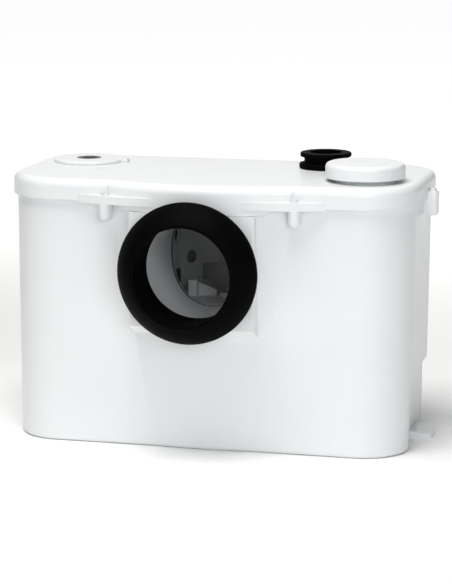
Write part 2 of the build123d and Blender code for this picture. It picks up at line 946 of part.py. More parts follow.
def make_basket():
    at = (shaft_x, shaft_y)
    top_flange_bottom = basket_top - basket_flange_thickness
    body = rod(basket_outer, basket_bottom, basket_top, at)
    body += rod(stack_radius, basket_bottom, basket_bottom + basket_flange_thickness, at)
    body += rod(basket_rim_radius, top_flange_bottom, basket_top, at)
    body = with_ears(body, basket_bottom, basket_bottom + basket_flange_thickness)
    gasket_room = inlet_rod(tunnel_bore + tunnel_wall + slip_gap, -pad_front, shaft_y)
    body -= gasket_room - rod(basket_outer, 0, tank_height, at)
    body -= rod(basket_bore, basket_bottom - overrun, basket_top + overrun, at)
    body -= inlet_rod(tunnel_bore, shaft_y - 2 * basket_outer, shaft_y)
    centre = turned_about_shaft(0)
    cutter_length = 2 * overrun
    window = Box(cutter_length, basket_window_width, basket_window_height)
    hole = Rot(0, 90, 0) * Cylinder(basket_hole_radius, cutter_length)
    for step in range(basket_windows):
        turn = basket_window_turn + basket_pitch * (step - basket_windows / 2)
        body -= centre * Rot(0, 0, turn) * Pos(basket_outer, 0, basket_window_z) * window
        z = basket_hole_z + basket_hole_pitch
        body -= centre * Rot(0, 0, turn) * Pos(basket_outer, 0, z) * hole
    for step in range(basket_hole_columns):
        turn = basket_window_turn + basket_pitch * (step - basket_hole_columns / 2)
        for level in basket_hole_levels:
            z = basket_hole_z + basket_hole_pitch * level
            body -= centre * Rot(0, 0, turn) * Pos(basket_outer, 0, z) * hole
    return body


def make_basket_cover():
    at = (shaft_x, shaft_y)
    top = basket_top + basket_cover_thickness
    body = rod(basket_rim_radius, basket_top, top, at)
    body += tube(
        basket_bore - body_gap, basket_bore - body_gap - basket_wall,
        basket_top - basket_flange_thickness, basket_top, at,
    )
    for step in range(basket_cover_slots):
        y = shaft_y + (step - (basket_cover_slots - 1) / 2) * basket_cover_slot_pitch
        body -= Pos(shaft_x, y, top) * extrude(
            SlotOverall(basket_cover_slot_length, basket_cover_slot_width),
            2 * basket_cover_thickness, both=True,
        )
    return body


def make_blade_rotor():
    at = (shaft_x, shaft_y)
    body = rod(rotor_radius, rotor_bottom, rotor_plate_top, at)
    body += rod(rotor_hub_radius, rotor_plate_top, rotor_hub_top, at)
    lug = Pos((lug_inner + lug_outer) / 2, 0, rotor_plate_top) * Box(
        lug_outer - lug_inner, lug_width, lug_height, align=BASE
    )
    lug = fillet(lug.edges().filter_by(Axis.Z), lug_edge_round)
    ramp_side = Plane.XZ * make_face(Polyline(
        (ramp_inner, rotor_plate_top),
        (ramp_outer, rotor_plate_top),
        (ramp_outer, rotor_plate_top + ramp_high),
        (ramp_inner, rotor_plate_top + ramp_low),
        close=True,
    ))
    ramp = extrude(ramp_side, ramp_width / 2, both=True)
    for turn in around(rotor_blades, rotor_blade_turn):
        body += turned_about_shaft(turn) * lug
        body += turned_about_shaft(turn) * ramp
    return body - rod(shaft_radius, 0, tank_height, at)


def make_shaft():
    at = (shaft_x, shaft_y)
    top = rotor_hub_top + rotor_nut_height
    body = rod(shaft_radius, impeller_bottom, rotor_hub_top, at)
    body += rod(shaft_end_radius, impeller_nut_bottom, impeller_bottom, at)
    return body + rod(shaft_end_radius, rotor_hub_top, top, at)


def shaft_nut(radius, bottom, height):
    nut = turned_about_shaft(0) * Pos(0, 0, bottom) * extrude(RegularPolygon(radius, 6), height)
    return nut - rod(shaft_end_radius, bottom - overrun, bottom + height + overrun, (shaft_x, shaft_y))


# Upper end of the sealed motor, which is also the floor of the basket
def make_motor_cover():
    at = (shaft_x, shaft_y)
    rim_bottom = motor_can_top
    ceiling = motor_top - motor_cover_plate
    seal_top_z = upper_seal_bottom + shaft_seal_height
    body = revolved([
        (shaft_passage, motor_top),
        (stack_radius, motor_top),
        (stack_radius, rim_bottom),
        (motor_can_radius, rim_bottom),
        (motor_can_radius, ceiling),
        (cup_radius, ceiling),
        (cup_radius, upper_bearing_bottom),
        (bearing_radius + running_gap, upper_bearing_bottom),
        (bearing_radius + running_gap, upper_seal_bottom),
        (shaft_seal_radius + running_gap, upper_seal_bottom),
        (shaft_seal_radius + running_gap, seal_top_z),
        (shaft_passage, seal_top_z),
    ], at)
    return with_ears(body, rim_bottom, motor_top)


def make_motor_can():
    at = (shaft_x, shaft_y)
    inner = motor_can_radius - motor_can_wall
    body = tube(motor_can_radius, inner, motor_bottom, motor_can_top, at)
    for bottom in (motor_bottom, motor_can_top - motor_flange):
        flange = tube(stack_radius, inner, bottom, bottom + motor_flange, at)
        body += with_ears(flange, bottom, bottom + motor_flange)
    return body


def make_stator():
    tooth_length = stator_radius - stator_yoke / 2 - stator_bore
    middle = (stator_bottom + stator_top) / 2
    height = stator_top - stator_bottom
    body = tube(stator_radius, stator_radius - stator_yoke, stator_bottom, stator_top)
    for turn in around(stator_slots):
        tooth = Pos(stator_bore + tooth_length / 2, 0, middle) * Box(
            tooth_length, stator_tooth_width, height
        )
        tip = Pos(stator_bore + stator_tip_depth / 2, 0, middle) * Box(
            stator_tip_depth, stator_tip_width, height
        )
        body += Rot(0, 0, turn) * (tooth + tip)
    return turned_about_shaft(0) * (body - rod(stator_bore, 0, tank_height))


def make_windings():
    middle = (stator_bottom + stator_top) / 2
    height = stator_top - stator_bottom
    body = None
    for bottom in (stator_bottom - winding_height, stator_top):
        ring = tube(winding_outer, winding_inner, bottom, bottom + winding_height)
        ring = fillet(ring.edges().filter_by(GeomType.CIRCLE), winding_round)
        body = ring if body is None else body + ring
    bar_length = winding_bar_outer - winding_inner
    for turn in around(stator_slots, 180 / stator_slots):
        bar = Pos((winding_inner + winding_bar_outer) / 2, 0, middle) * Box(
            bar_length - 2 * winding_round, winding_bar_width, height + winding_height
        )
        body += Rot(0, 0, turn) * bar
    return turned_about_shaft(0) * body


def make_armature():
    at = (shaft_x, shaft_y)
    body = rod(armature_radius, stator_bottom, stator_top, at)
    body += rod(
        armature_radius - armature_ring_inset,
        stator_bottom - armature_ring, stator_top + armature_ring, at,
    )
    return body - rod(shaft_radius, 0, tank_height, at)


def bearing(bottom):
    at = (shaft_x, shaft_y)
    top = bottom + bearing_width
    body = tube(bearing_radius, shaft_radius + running_gap, bottom, top, at)
    for z in (bottom, top):
        body -= tube(
            bearing_groove_outer, bearing_groove_inner, z - bearing_groove, z + bearing_groove, at
        ) & rod(bearing_radius, z - bearing_groove, z + bearing_groove, at)
    return body


def shaft_seal(bottom):
    at = (shaft_x, shaft_y)
    top = bottom + shaft_seal_height
    middle = (bottom + top) / 2
    return revolved([
        (shaft_seal_radius, bottom),
        (shaft_seal_radius, top),
        (shaft_seal_lip, top),
        (shaft_radius + running_gap, middle),
        (shaft_seal_lip, bottom),
    ], at)


# Scroll of the pump as a spiral that grows clockwise towards the outlet
def scroll_face(extra):
    points = []
    for step in range(scroll_points + 1):
        share = step / scroll_points
        angle = math.radians(90 - 360 * share)
        radius = blend(scroll_start, scroll_end, share) + extra
        points.append((radius * math.cos(angle), radius * math.sin(angle)))
    return make_face([Spline(*points), Line(points[-1], points[0])])


def make_volute():
    here = turned_about_shaft(outlet_turn)
    body = Pos(0, 0, pump_floor) * extrude(scroll_face(scroll_wall), motor_bottom - pump_floor)
    body += rod(stack_radius, pump_ceiling, motor_bottom)
    pipe_at = Pos(0, outlet_offset, outlet_z) * Rot(0, 90, 0)
    body += pipe_at * Cylinder(pipe_radius, outlet_reach, align=BASE)
    body += rod(cup_radius, motor_bottom, lower_bearing_top)
    scroll_depth = pump_ceiling - pump_floor + overrun
    body -= Pos(0, 0, pump_floor - overrun) * extrude(scroll_face(0), scroll_depth)
    body -= pipe_at * Cylinder(pipe_bore, outlet_reach + overrun, align=BASE)
    body -= rod(shaft_passage, 0, tank_height)
    body -= rod(shaft_seal_radius + running_gap, lower_seal_bottom, tank_height)
    body -= rod(bearing_radius + running_gap, lower_bearing_bottom, tank_height)
    return with_ears(here * body, pump_floor, motor_bottom)


def make_pump_plate():
    at = (shaft_x, shaft_y)
    body = rod(stack_radius, pump_bottom, pump_floor, at)
    body = with_ears(body, pump_bottom, pump_floor)
    return body - rod(intake_radius, pump_bottom - overrun, pump_floor + overrun, at)


def make_impeller():
    disc_bottom = impeller_top - impeller_disc
    body = rod(impeller_radius, disc_bottom, impeller_top)
    body += rod(impeller_hub_radius, impeller_bottom, disc_bottom)
    bow_centre = impeller_vane_radius - impeller_vane / 2
    vane = tube(impeller_vane_radius, impeller_vane_radius - impeller_vane, impeller_bottom, disc_bottom)
    vane = Pos(0, bow_centre, 0) * vane
    vane &= block(0, impeller_radius, 0, impeller_radius + overrun, impeller_bottom, disc_bottom)
    vane &= rod(impeller_radius, impeller_bottom, disc_bottom)
    for turn in around(impeller_vanes):
        body += Rot(0, 0, turn) * vane
    return turned_about_shaft(0) * (body - rod(shaft_radius, 0, tank_height))


def make_pump_rubbers():
    rubber = rod(pump_rubber_radius, tank_floor, pump_bottom)
    return [
        turned_about_shaft(turn) * Pos(pump_foot_circle, 0, 0) * rubber
        for turn in around(pump_feet)
    ]


def stack_screws(head_z, tip_z):
    direction = 1 if tip_z > head_z else -1
    low = min(head_z, tip_z)
    high = max(head_z, tip_z)
    head_low = min(head_z, head_z - direction * stack_screw_head_height)
    screw = rod(stack_screw_radius, low, high)
    screw += rod(stack_screw_head, head_low, head_low + stack_screw_head_height)
    return [
        turned_about_shaft(turn) * Pos(stack_ear_circle, 0, 0) * screw
        for turn in around(stack_ears, stack_ear_turn)
    ]


def make_elbow():
    start = outlet_reach - elbow_socket
    bend_x = outlet_distance - elbow_bend
    turn_path = ThreePointArc(
        (bend_x, 0, outlet_z),
        (bend_x + elbow_bend * math.sqrt(0.5), 0, outlet_z + elbow_bend * (1 - math.sqrt(0.5))),
        (outlet_distance, 0, outlet_z + elbow_bend),
    )
    low_run = Line((start, 0, outlet_z), (bend_x, 0, outlet_z))
    high_run = Line((outlet_distance, 0, outlet_z + elbow_bend), (outlet_distance, 0, elbow_top))
    path = Wire([low_run.edge(), turn_path.edge(), high_run.edge()])
    mouth = Plane(origin=(start, 0, outlet_z), z_dir=(1, 0, 0))
    body = sweep(mouth * Circle(elbow_radius), path=path)
    body -= sweep(mouth * Circle(pipe_bore), path=path)
    socket = Pos(start - overrun, 0, outlet_z) * Rot(0, 90, 0)
    body -= socket * Cylinder(pipe_radius + running_gap, elbow_socket + overrun, align=BASE)
    body -= rod(pipe_radius + running_gap, riser_bottom, elbow_top + overrun, (outlet_distance, 0))
    return turned_about_shaft(outlet_turn) * Pos(0, outlet_offset, 0) * body


def make_riser():
    return tube(pipe_radius, pipe_bore, riser_bottom, riser_top, (outlet_x, outlet_y))


# Valve chamber with its raised seat and the two lugs that hold the flap pin
def make_valve_body():
    at = (outlet_x, outlet_y)
    outer = valve_chamber + valve_wall
    socket = pipe_radius + running_gap
    body = revolved([
        (socket, valve_bottom),
        (elbow_radius, valve_bottom),
        (elbow_radius, valve_throat),
        (outer, valve_shoulder),
        (outer, valve_top - valve_flange_thickness),
        (valve_flange, valve_top - valve_flange_thickness),
        (valve_flange, valve_top),
        (valve_chamber, valve_top),
        (valve_chamber, valve_floor),
        (valve_seat_land, valve_floor),
        (valve_seat_land, valve_seat),
        (valve_seat_bore, valve_seat),
        (valve_seat_bore, riser_top),
        (socket, riser_top),
    ], at)
    low = flap_knuckle_half + body_gap
    for side in (-1, 1):
        x_near = outlet_x + side * low
        x_far = outlet_x + side * (low + flap_lug_width)
        lug = block(
            min(x_near, x_far), max(x_near, x_far),
            flap_axis_y - flap_knuckle_radius, flap_axis_y + flap_knuckle_radius,
            valve_floor - valve_wall / 2, flap_axis_z + flap_knuckle_radius,
        )
        body += lug
    pin_half = low + flap_lug_width
    body -= along_x(flap_pin_radius, -pin_half, pin_half)
    flange_bottom = valve_top - valve_flange_thickness
    hole = rod(valve_screw_radius + running_gap, flange_bottom - overrun, valve_top + overrun)
    for place in valve_screw_places():
        body -= place * hole
    return body


def along_x(radius, low, high):
    return Pos(outlet_x + low, flap_axis_y, flap_axis_z) * Rot(0, 90, 0) * Cylinder(
        radius, high - low, align=BASE
    )


def valve_screw_places():
    return [
        Pos(outlet_x, outlet_y, 0) * Rot(0, 0, turn) * Pos(valve_screw_circle, 0, 0)
        for turn in around(valve_screws, 180 / valve_screws)
    ]


def make_valve_cap():
    roof = valve_top + valve_flange_thickness
    inner_rise = valve_cone_top - valve_wall / 2
    body = revolved([
        (valve_chamber, valve_top),
        (valve_flange, valve_top),
        (valve_flange, roof),
        (valve_chamber + valve_wall, roof),
        (spigot_radius, valve_cone_top),
        (spigot_radius, spigot_top),
        (spigot_bore, spigot_top),
        (spigot_bore, inner_rise),
    ], (outlet_x, outlet_y))
    for place in valve_screw_places():
        body -= place * rod(valve_screw_radius + running_gap, valve_top - overrun, roof + overrun)
    return body


def make_valve_screws():
    roof = valve_top + valve_flange_thickness
    screw = rod(valve_screw_radius, roof - valve_flange_thickness - valve_screw_bite, roof)
    screw += rod(valve_screw_head, roof, roof + valve_screw_head_height)
    return [place * screw for place in valve_screw_places()]


def make_flap():
    body = rod(flap_radius, flap_bottom, flap_bottom + flap_thickness, (outlet_x, outlet_y))
    body += block(
        outlet_x - flap_neck_half, outlet_x + flap_neck_half,
        outlet_y + flap_radius / 2, flap_axis_y,
        flap_bottom, flap_bottom + flap_thickness,
    )
    body += along_x(flap_knuckle_radius, -flap_knuckle_half, flap_knuckle_half)
    return body - along_x(flap_pin_radius + running_gap, -valve_chamber, valve_chamber)


def make_flap_pin():
    pin_half = flap_knuckle_half + body_gap + flap_lug_width
    return along_x(flap_pin_radius, -pin_half, pin_half)


def make_grommet():
    low = lid_top
    grip = spigot_radius + running_gap
    waist_low = low + grommet_low_flange_thickness + grommet_flare
    waist_high = grommet_top - grommet_top_flange_thickness - grommet_flare
    stop_top = spigot_top + grommet_stop_height
    body = revolved([
        (grip, low),
        (grommet_low_flange, low),
        (grommet_low_flange, low + grommet_low_flange_thickness),
        (grommet_waist, waist_low),
        (grommet_waist, waist_high),
        (grommet_top_flange, grommet_top - grommet_top_flange_thickness),
        (grommet_top_flange, grommet_top),
        (grommet_bore, grommet_top),
        (grommet_bore, stop_top),
        (grommet_stop, stop_top),
        (grommet_stop, spigot_top),
        (grip, spigot_top),
    ], (outlet_x, outlet_y))
    rims = [
        e for e in body.edges().filter_by(GeomType.CIRCLE)
        if e.radius > grommet_waist + near
    ]
    return fillet(rims, grommet_edge_round)


# Column that traps air over the water, with arched water ways at its foot
def make_bell():
    at = (bell_x, bell_y)
    body = rod(bell_radius, tank_floor, bell_top, at)
    body += rod(bell_flange, bell_top - bell_flange_thickness, bell_top, at)
    body -= rod(bell_radius - bell_wall, tank_floor - overrun, bell_top - bell_flange_thickness, at)
    body -= rod(bell_air_hole, 0, tank_height, at)
    arch = Plane.XZ * (
        Rectangle(bell_arch_width, 2 * bell_arch_height)
        + Pos(0, bell_arch_height) * Circle(bell_arch_width / 2)
    )
    for turn in (0, 90):
        body -= Pos(bell_x, bell_y, tank_floor) * Rot(0, 0, turn) * extrude(
            arch, bell_radius + overrun, both=True
        )
    return body


def make_membrane():
    return rod(membrane_radius, bell_top, bell_membrane_top, (bell_x, bell_y))


def make_plunger():
    at = (bell_x, bell_y)
    body = rod(plunger_head, plunger_bottom, plunger_bottom + plunger_head_height, at)
    return body + rod(plunger_stem, plunger_bottom, plunger_top, at)


def make_switch_button():
    return rod(button_radius, button_bottom, button_bottom + button_length, (bell_x, bell_y))


def make_microswitch():
    at = (bell_x, bell_y)
    body = block(
        bell_x - switch_length / 2, bell_x + switch_length / 2,
        bell_y - switch_width / 2, bell_y + switch_width / 2,
        switch_bottom, switch_bottom + switch_height,
    )
    top = button_bottom + button_length + switch_travel + body_gap
    return body - rod(button_radius + running_gap, switch_bottom - overrun, top, at)


def make_switch_bracket():
    at = (bell_x, bell_y)
    half = bracket_half_length
    depth = bracket_half_width
    body = block(
        bell_x - half, bell_x + half, bell_y - depth, bell_y + depth,
        bracket_z, bracket_z + bracket_thickness,
    )
    for side in (-1, 1):
        leg_x = bell_x + side * (half + bracket_thickness / 2)
        body += block(
            leg_x - bracket_thickness / 2, leg_x + bracket_thickness / 2,
            bell_y - depth, bell_y + depth,
            box_floor_top, bracket_z + bracket_thickness,
        )
        foot_x = bell_x + side * (half + bracket_foot / 2)
        body += block(
            foot_x - bracket_foot / 2, foot_x + bracket_foot / 2,
            bell_y - depth, bell_y + depth,
            box_floor_top, box_floor_top + bracket_thickness,
        )
    back = bell_y + switch_width / 2
    body += block(
        bell_x - switch_length / 2, bell_x + switch_length / 2,
        back, back + bracket_thickness,
        bracket_z, bracket_z + bracket_back_height + bracket_thickness,
    )
    return body - rod(plunger_stem + running_gap, bracket_z - overrun, bracket_z + bracket_thickness, at)


def box_block(inset, bottom, top):
    body = block(
        box_left + inset, box_right - inset, box_front + inset, box_rear - inset, bottom, top
    )
    return fillet(body.edges().filter_by(Axis.Z), box_round - inset)


def make_electrics_box():
    body = box_block(0, bell_membrane_top, box_top)
    body -= box_block(box_wall, box_floor_top, box_top + overrun)
    return body - rod(box_hole, bell_membrane_top - overrun, box_floor_top + overrun, (bell_x, bell_y))


def make_electrics_lid():
    body = box_block(0, box_top, box_top + box_lid_thickness)
    inner = box_wall + body_gap
    lip = box_block(inner, box_top - box_lip, box_top)
    lip -= box_block(inner + box_wall, box_top - box_lip - overrun, box_top)
    return body + lip


def make_capacitor():
    at = (capacitor_x, capacitor_y)
    body = rod(capacitor_radius, box_floor_top, box_floor_top + capacitor_height, at)
    return fillet(body.edges().filter_by(GeomType.CIRCLE), capacitor_round)


def make_terminal_block():
    body = block(
        terminal_x - terminal_length / 2, terminal_x + terminal_length / 2,
        terminal_y - terminal_width / 2, terminal_y + terminal_width / 2,
        box_floor_top, box_floor_top + terminal_height,
    )
    top = box_floor_top + terminal_height
    pitch = terminal_length / terminal_ways
    for step in range(terminal_ways):
        x = terminal_x + (step - (terminal_ways - 1) / 2) * pitch
        for side in (-1, 1):
            y = terminal_y + side * terminal_width / 4
            body -= rod(terminal_hole, top - terminal_hole_depth, top + overrun, (x, y))
    return body


def hex_y(radius, front, rear):
    prism = Plane.XZ * RegularPolygon(radius, 6)
    return Pos(gland_x, rear, gland_z) * extrude(prism, rear - front)


def make_gland():
    hex_end = gland_face + gland_hex_height
    dome_end = hex_end + gland_dome_length
    body = hex_y(gland_hex, gland_face, hex_end)
    dome = along_y(gland_dome_radius, hex_end, dome_end, gland_x, gland_z)
    dome = fillet(dome.edges().group_by(Axis.Y)[-1], gland_dome_radius - gland_thread_radius)
    body += dome
    body += along_y(gland_thread_radius, gland_face - gland_tail, gland_face, gland_x, gland_z)
    body -= along_y(gland_passage, 0, hex_end, gland_x, gland_z)
    return body - along_y(gland_bore, hex_end, dome_end + overrun, gland_x, gland_z)


def make_gland_nut():
    front = gland_inner_face - gland_nut_thickness
    body = hex_y(gland_nut_radius, front, gland_inner_face)
    return body - along_y(gland_thread_radius + running_gap, 0, gland_face, gland_x, gland_z)


def make_top_cap():
    inner_top = cap_top - cap_plate
    ring_top = cap_ring_z + cap_ring_height
    plug_bottom = inner_top - cap_plug_length
    body = revolved([
        (0, inner_top),
        (0, cap_top),
        (cap_radius, cap_top),
        (cap_radius, cap_bottom),
        (cap_radius - cap_wall, cap_bottom),
        (cap_radius - cap_wall, inner_top),
        (cap_plug_radius, inner_top),
        (cap_plug_radius, ring_top),
        (cap_plug_radius - cap_ring_depth, ring_top),
        (cap_plug_radius - cap_ring_depth, cap_ring_z),
        (cap_plug_radius, cap_ring_z),
        (cap_plug_radius, plug_bottom),
        (cap_plug_radius - cap_plug_wall, plug_bottom),
        (cap_plug_radius - cap_plug_wall, inner_top),
    ], (cap_x, cap_y))
    return fillet(body.edges().group_by(Axis.Z)[-1], cap_edge_round)


def make_cap_ring():
    outer = neck_bore - running_gap
    inner = cap_plug_radius - cap_ring_depth
    body = tube(outer, inner, cap_ring_z, cap_ring_z + cap_ring_height, (cap_x, cap_y))
    rims = [e for e in body.edges().filter_by(GeomType.CIRCLE) if e.radius > inner + running_gap]
    return fillet(rims, cap_ring_height * cap_ring_round_share)


def make_vent_cover():
    plug_radius = vent_hole_radius - body_gap
    plug_bottom = vent_bottom - vent_plug_depth
    body = revolved([
        (vent_core_radius, vent_bottom),
        (vent_core_radius, vent_top),
        (vent_radius, vent_top),
        (vent_radius, vent_bottom),
        (plug_radius, vent_bottom),
        (plug_radius, plug_bottom),
        (plug_radius - vent_plug_wall, plug_bottom),
        (plug_radius - vent_plug_wall, vent_bottom),
    ], (vent_x, vent_y))
    outer_rim = [
        e for e in body.edges().filter_by(GeomType.CIRCLE)
        if e.radius > vent_radius - near and e.center().Z > vent_bottom + near
    ]
    body = fillet(outer_rim, vent_edge_round)
    lug = block(
        vent_x + vent_radius - vent_lug_length, vent_x + vent_radius + vent_lug_length,
        vent_y - vent_lug_width / 2, vent_y + vent_lug_width / 2,
        vent_bottom, vent_top,
    )
    lug -= rod(vent_core_radius + vent_plug_wall, vent_bottom, vent_top, (vent_x, vent_y))
    tips = [e for e in lug.edges().filter_by(Axis.Z) if e.center().X > vent_x + vent_radius]
    return body + fillet(tips, vent_edge_round)


def make_vent_core():
    at = (vent_x, vent_y)
    flange_bottom = vent_bottom - vent_core_flange_thickness
    body = rod(vent_core_radius - running_gap, flange_bottom, vent_top, at)
    body += rod(vent_core_flange, flange_bottom, vent_bottom, at)
    for step in range(vent_slots):
        y = vent_y + (step - (vent_slots - 1) / 2) * vent_slot_pitch
        body -= Pos(vent_x, y, flange_bottom - overrun) * extrude(
            SlotOverall(vent_slot_length, vent_slot_width), 2 * overrun + vent_height
        )
    return body


def make_carbon_filter():
    bottom = cup_bottom + filter_cup_wall
    return rod(vent_hole_radius - body_gap, bottom, bottom + filter_height, (vent_x, vent_y))


parts = {
    "tank": make_tank(),
    "inlet_tunnel": make_inlet_tunnel(),
    "wc_collar": make_wc_collar(),
    "basket_gasket": make_basket_gasket(),
    "lid": make_lid(),
    "lid_seal": make_lid_seal(),
    "lid_screws": make_lid_screws(),
    "grinder_basket": make_basket(),
    "basket_cover": make_basket_cover(),
    "blade_rotor": make_blade_rotor(),
    "motor_shaft": make_shaft(),
    "rotor_nut": shaft_nut(rotor_nut_radius, rotor_hub_top, rotor_nut_height),
    "motor_cover": make_motor_cover(),
    "motor_can": make_motor_can(),
    "stator_core": make_stator(),
    "stator_windings": make_windings(),
    "armature": make_armature(),
    "upper_bearing": bearing(upper_bearing_bottom),
    "lower_bearing": bearing(lower_bearing_bottom),
    "upper_shaft_seal": shaft_seal(upper_seal_bottom),
    "lower_shaft_seal": shaft_seal(lower_seal_bottom),
    "stack_screws_upper": stack_screws(
        basket_bottom + basket_flange_thickness, motor_can_top - motor_flange
    ),
    "stack_screws_lower": stack_screws(pump_bottom, motor_bottom + motor_flange),
    "volute": make_volute(),
    "pump_plate": make_pump_plate(),
    "impeller": make_impeller(),
    "impeller_nut": shaft_nut(impeller_nut_radius, impeller_nut_bottom, impeller_nut_height),
    "pump_rubbers": make_pump_rubbers(),
    "discharge_elbow": make_elbow(),
    "discharge_riser": make_riser(),
    "valve_body": make_valve_body(),
    "valve_cap": make_valve_cap(),
    "valve_screws": make_valve_screws(),
    "valve_flap": make_flap(),
    "flap_pin": make_flap_pin(),
    "discharge_sleeve": make_grommet(),
    "pressure_bell": make_bell(),
    "membrane": make_membrane(),
    "switch_plunger": make_plunger(),
    "switch_button": make_switch_button(),
    "microswitch": make_microswitch(),
    "switch_bracket": make_switch_bracket(),
    "electrics_box": make_electrics_box(),
    "electrics_lid": make_electrics_lid(),
    "capacitor": make_capacitor(),
    "terminal_block": make_terminal_block(),
    "cable_gland": make_gland(),
    "gland_nut": make_gland_nut(),
    "top_cap": make_top_cap(),
    "cap_ring": make_cap_ring(),
    "vent_cover": make_vent_cover(),
    "vent_core": make_vent_core(),
    "carbon_filter": make_carbon_filter(),
}

for name, shape in parts.items():
    piece = Compound(children=shape) if isinstance(shape, list) else shape
    export_step(piece, f"parts/{name}.step")
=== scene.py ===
"""Finishes a macerator toilet pump: its materials, its moulding marks and the studio stage."""
import math

import bmesh
import bpy
from mathutils import Matrix, Vector


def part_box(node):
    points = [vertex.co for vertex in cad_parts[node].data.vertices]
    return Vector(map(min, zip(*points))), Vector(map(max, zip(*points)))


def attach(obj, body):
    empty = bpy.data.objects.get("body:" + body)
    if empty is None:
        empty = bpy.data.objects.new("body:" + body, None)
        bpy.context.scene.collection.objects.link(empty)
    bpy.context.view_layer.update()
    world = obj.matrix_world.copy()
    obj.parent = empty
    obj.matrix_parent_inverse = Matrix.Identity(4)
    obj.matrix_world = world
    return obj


bl_info = {
    "name": "Macerator toilet pump",
    "version": (1, 0, 0),
    "blender": (4, 5, 0),
    "location": "3D View > Sidebar > Pump",
    "description": "Finishes a macerator toilet pump and sets it on a plain studio floor",
    "category": "Object",
}

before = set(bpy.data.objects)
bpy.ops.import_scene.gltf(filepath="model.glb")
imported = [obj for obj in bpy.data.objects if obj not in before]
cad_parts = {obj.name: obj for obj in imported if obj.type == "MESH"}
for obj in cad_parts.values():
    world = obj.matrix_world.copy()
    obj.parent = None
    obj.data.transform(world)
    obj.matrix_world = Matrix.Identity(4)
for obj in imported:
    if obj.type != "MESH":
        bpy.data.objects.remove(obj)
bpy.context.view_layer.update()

# Where the moulding marks lie on the lid, in metres right and back of the middle
GATE_PLACES = ((-0.124, -0.025), (-0.009, 0.009), (0.002, 0.012))

# Where the surround starts to darken and where it is darkest, as the sideways part of a direction
RIGHT_SHADE_SPAN = (0.0, 0.4)
LEFT_SHADE_SPAN = (-0.3, -0.75)


# Settings that a user may change.


def colour_setting(name, words, value):
    return bpy.props.FloatVectorProperty(
        name=name, description=words, subtype="COLOR", size=3, min=0.0, max=1.0, default=value)


def length_setting(name, words, value):
    return bpy.props.FloatProperty(
        name=name, description=words, subtype="DISTANCE", unit="LENGTH", min=0.0, precision=5,
        default=value)


def share_setting(name, words, value):
    return bpy.props.FloatProperty(
        name=name, description=words, subtype="FACTOR", min=0.0, max=1.0, default=value)


def strength_setting(name, words, value):
    return bpy.props.FloatProperty(name=name, description=words, min=0.0, default=value)


def place_setting(name, words, value):
    return bpy.props.FloatVectorProperty(
        name=name, description=words, subtype="TRANSLATION", unit="LENGTH", size=3, default=value)


class ShellSettings(bpy.types.PropertyGroup):
    colour: colour_setting("Shell colour", "White of the tank, lid and caps", (0.83, 0.847, 0.852))
    shade: colour_setting("Shell shade", "White where the moulding cooled last", (0.795, 0.81, 0.82))
    roughness: share_setting("Shell roughness", "How dull the white plastic is", 0.3)
    grain_size: length_setting("Shell grain", "Width of one grain of the moulded surface", 0.0009)
    grain_depth: length_setting("Shell grain depth", "Depth of the moulded grain", 0.000012)


class RubberSettings(bpy.types.PropertyGroup):
    colour: colour_setting("Rubber colour", "Black of the connector and seals", (0.0011, 0.0011, 0.0012))
    bloom: colour_setting("Rubber bloom", "Greyer black where it is dry", (0.0018, 0.0018, 0.0019))
    roughness: share_setting("Rubber roughness", "How dull the rubber is", 0.55)
    grain_size: length_setting("Rubber grain", "Width of one grain of the moulded rubber", 0.0012)
    grain_depth: length_setting("Rubber grain depth", "Depth of the moulded grain", 0.00003)


class PumpSettings(bpy.types.PropertyGroup):
    grey: colour_setting("Pump grey", "Colour of the basket, pump and pipes", (0.34, 0.345, 0.35))
    basket: colour_setting("Basket grey", "Colour of the grinder basket", (0.66, 0.67, 0.68))
    ivory: colour_setting("Ivory", "Colour of the plunger, capacitor and terminals", (0.66, 0.64, 0.56))
    red: colour_setting("Red", "Colour of the switch button", (0.45, 0.03, 0.025))
    black: colour_setting("Black plastic", "Colour of the switch and vent core", (0.015, 0.015, 0.016))
    carbon: colour_setting("Carbon foam", "Colour of the vent's filter", (0.018, 0.018, 0.019))
    roughness: share_setting("Pump roughness", "How dull the grey plastic is", 0.45)
    grain_size: length_setting("Pump grain", "Width of one grain of the grey plastic", 0.0008)
    grey_depth: length_setting("Grey grain depth", "Depth of the grey plastic's grain", 0.00004)
    basket_depth: length_setting("Basket grain depth", "Depth of the basket's grain", 0.00003)
    small_roughness: share_setting("Small parts", "How dull the small plastic parts are", 0.4)
    small_grain: length_setting("Small grain", "Width of one grain of the small parts", 0.0006)
    small_depth: length_setting("Small grain depth", "Depth of the small parts' grain", 0.00002)
    cell_size: length_setting("Foam cell", "Width of one cell of the filter foam", 0.0016)


class MetalSettings(bpy.types.PropertyGroup):
    steel: colour_setting("Steel", "Colour of stainless steel", (0.56, 0.56, 0.57))
    aluminium: colour_setting("Aluminium", "Colour of the motor housing", (0.55, 0.56, 0.58))
    blasted: colour_setting("Blasted steel", "Colour of the rotor's dull steel", (0.72, 0.72, 0.73))
    zinc: colour_setting("Zinc", "Colour of the lid's plated screws", (0.82, 0.83, 0.84))
    core: colour_setting("Core steel", "Colour of the stacked sheets", (0.22, 0.22, 0.23))
    copper: colour_setting("Copper", "Colour of the varnished wire", (0.55, 0.20, 0.07))
    line_size: length_setting("Brushed line", "Spacing of the brushed lines", 0.0004)
    sheet_size: length_setting("Sheet thickness", "Thickness of one sheet of the core", 0.0005)
    wire_size: length_setting("Wire size", "Thickness of one winding wire", 0.0008)


class DetailSettings(bpy.types.PropertyGroup):
    gate_radius: length_setting("Gate mark radius", "Radius of the moulding marks on the lid", 0.0024)
    gate_height: length_setting("Gate mark height", "How far a moulding mark stands up", 0.0004)
    gate_taper: share_setting("Gate mark taper", "Width of a mark's top against its foot", 0.7)


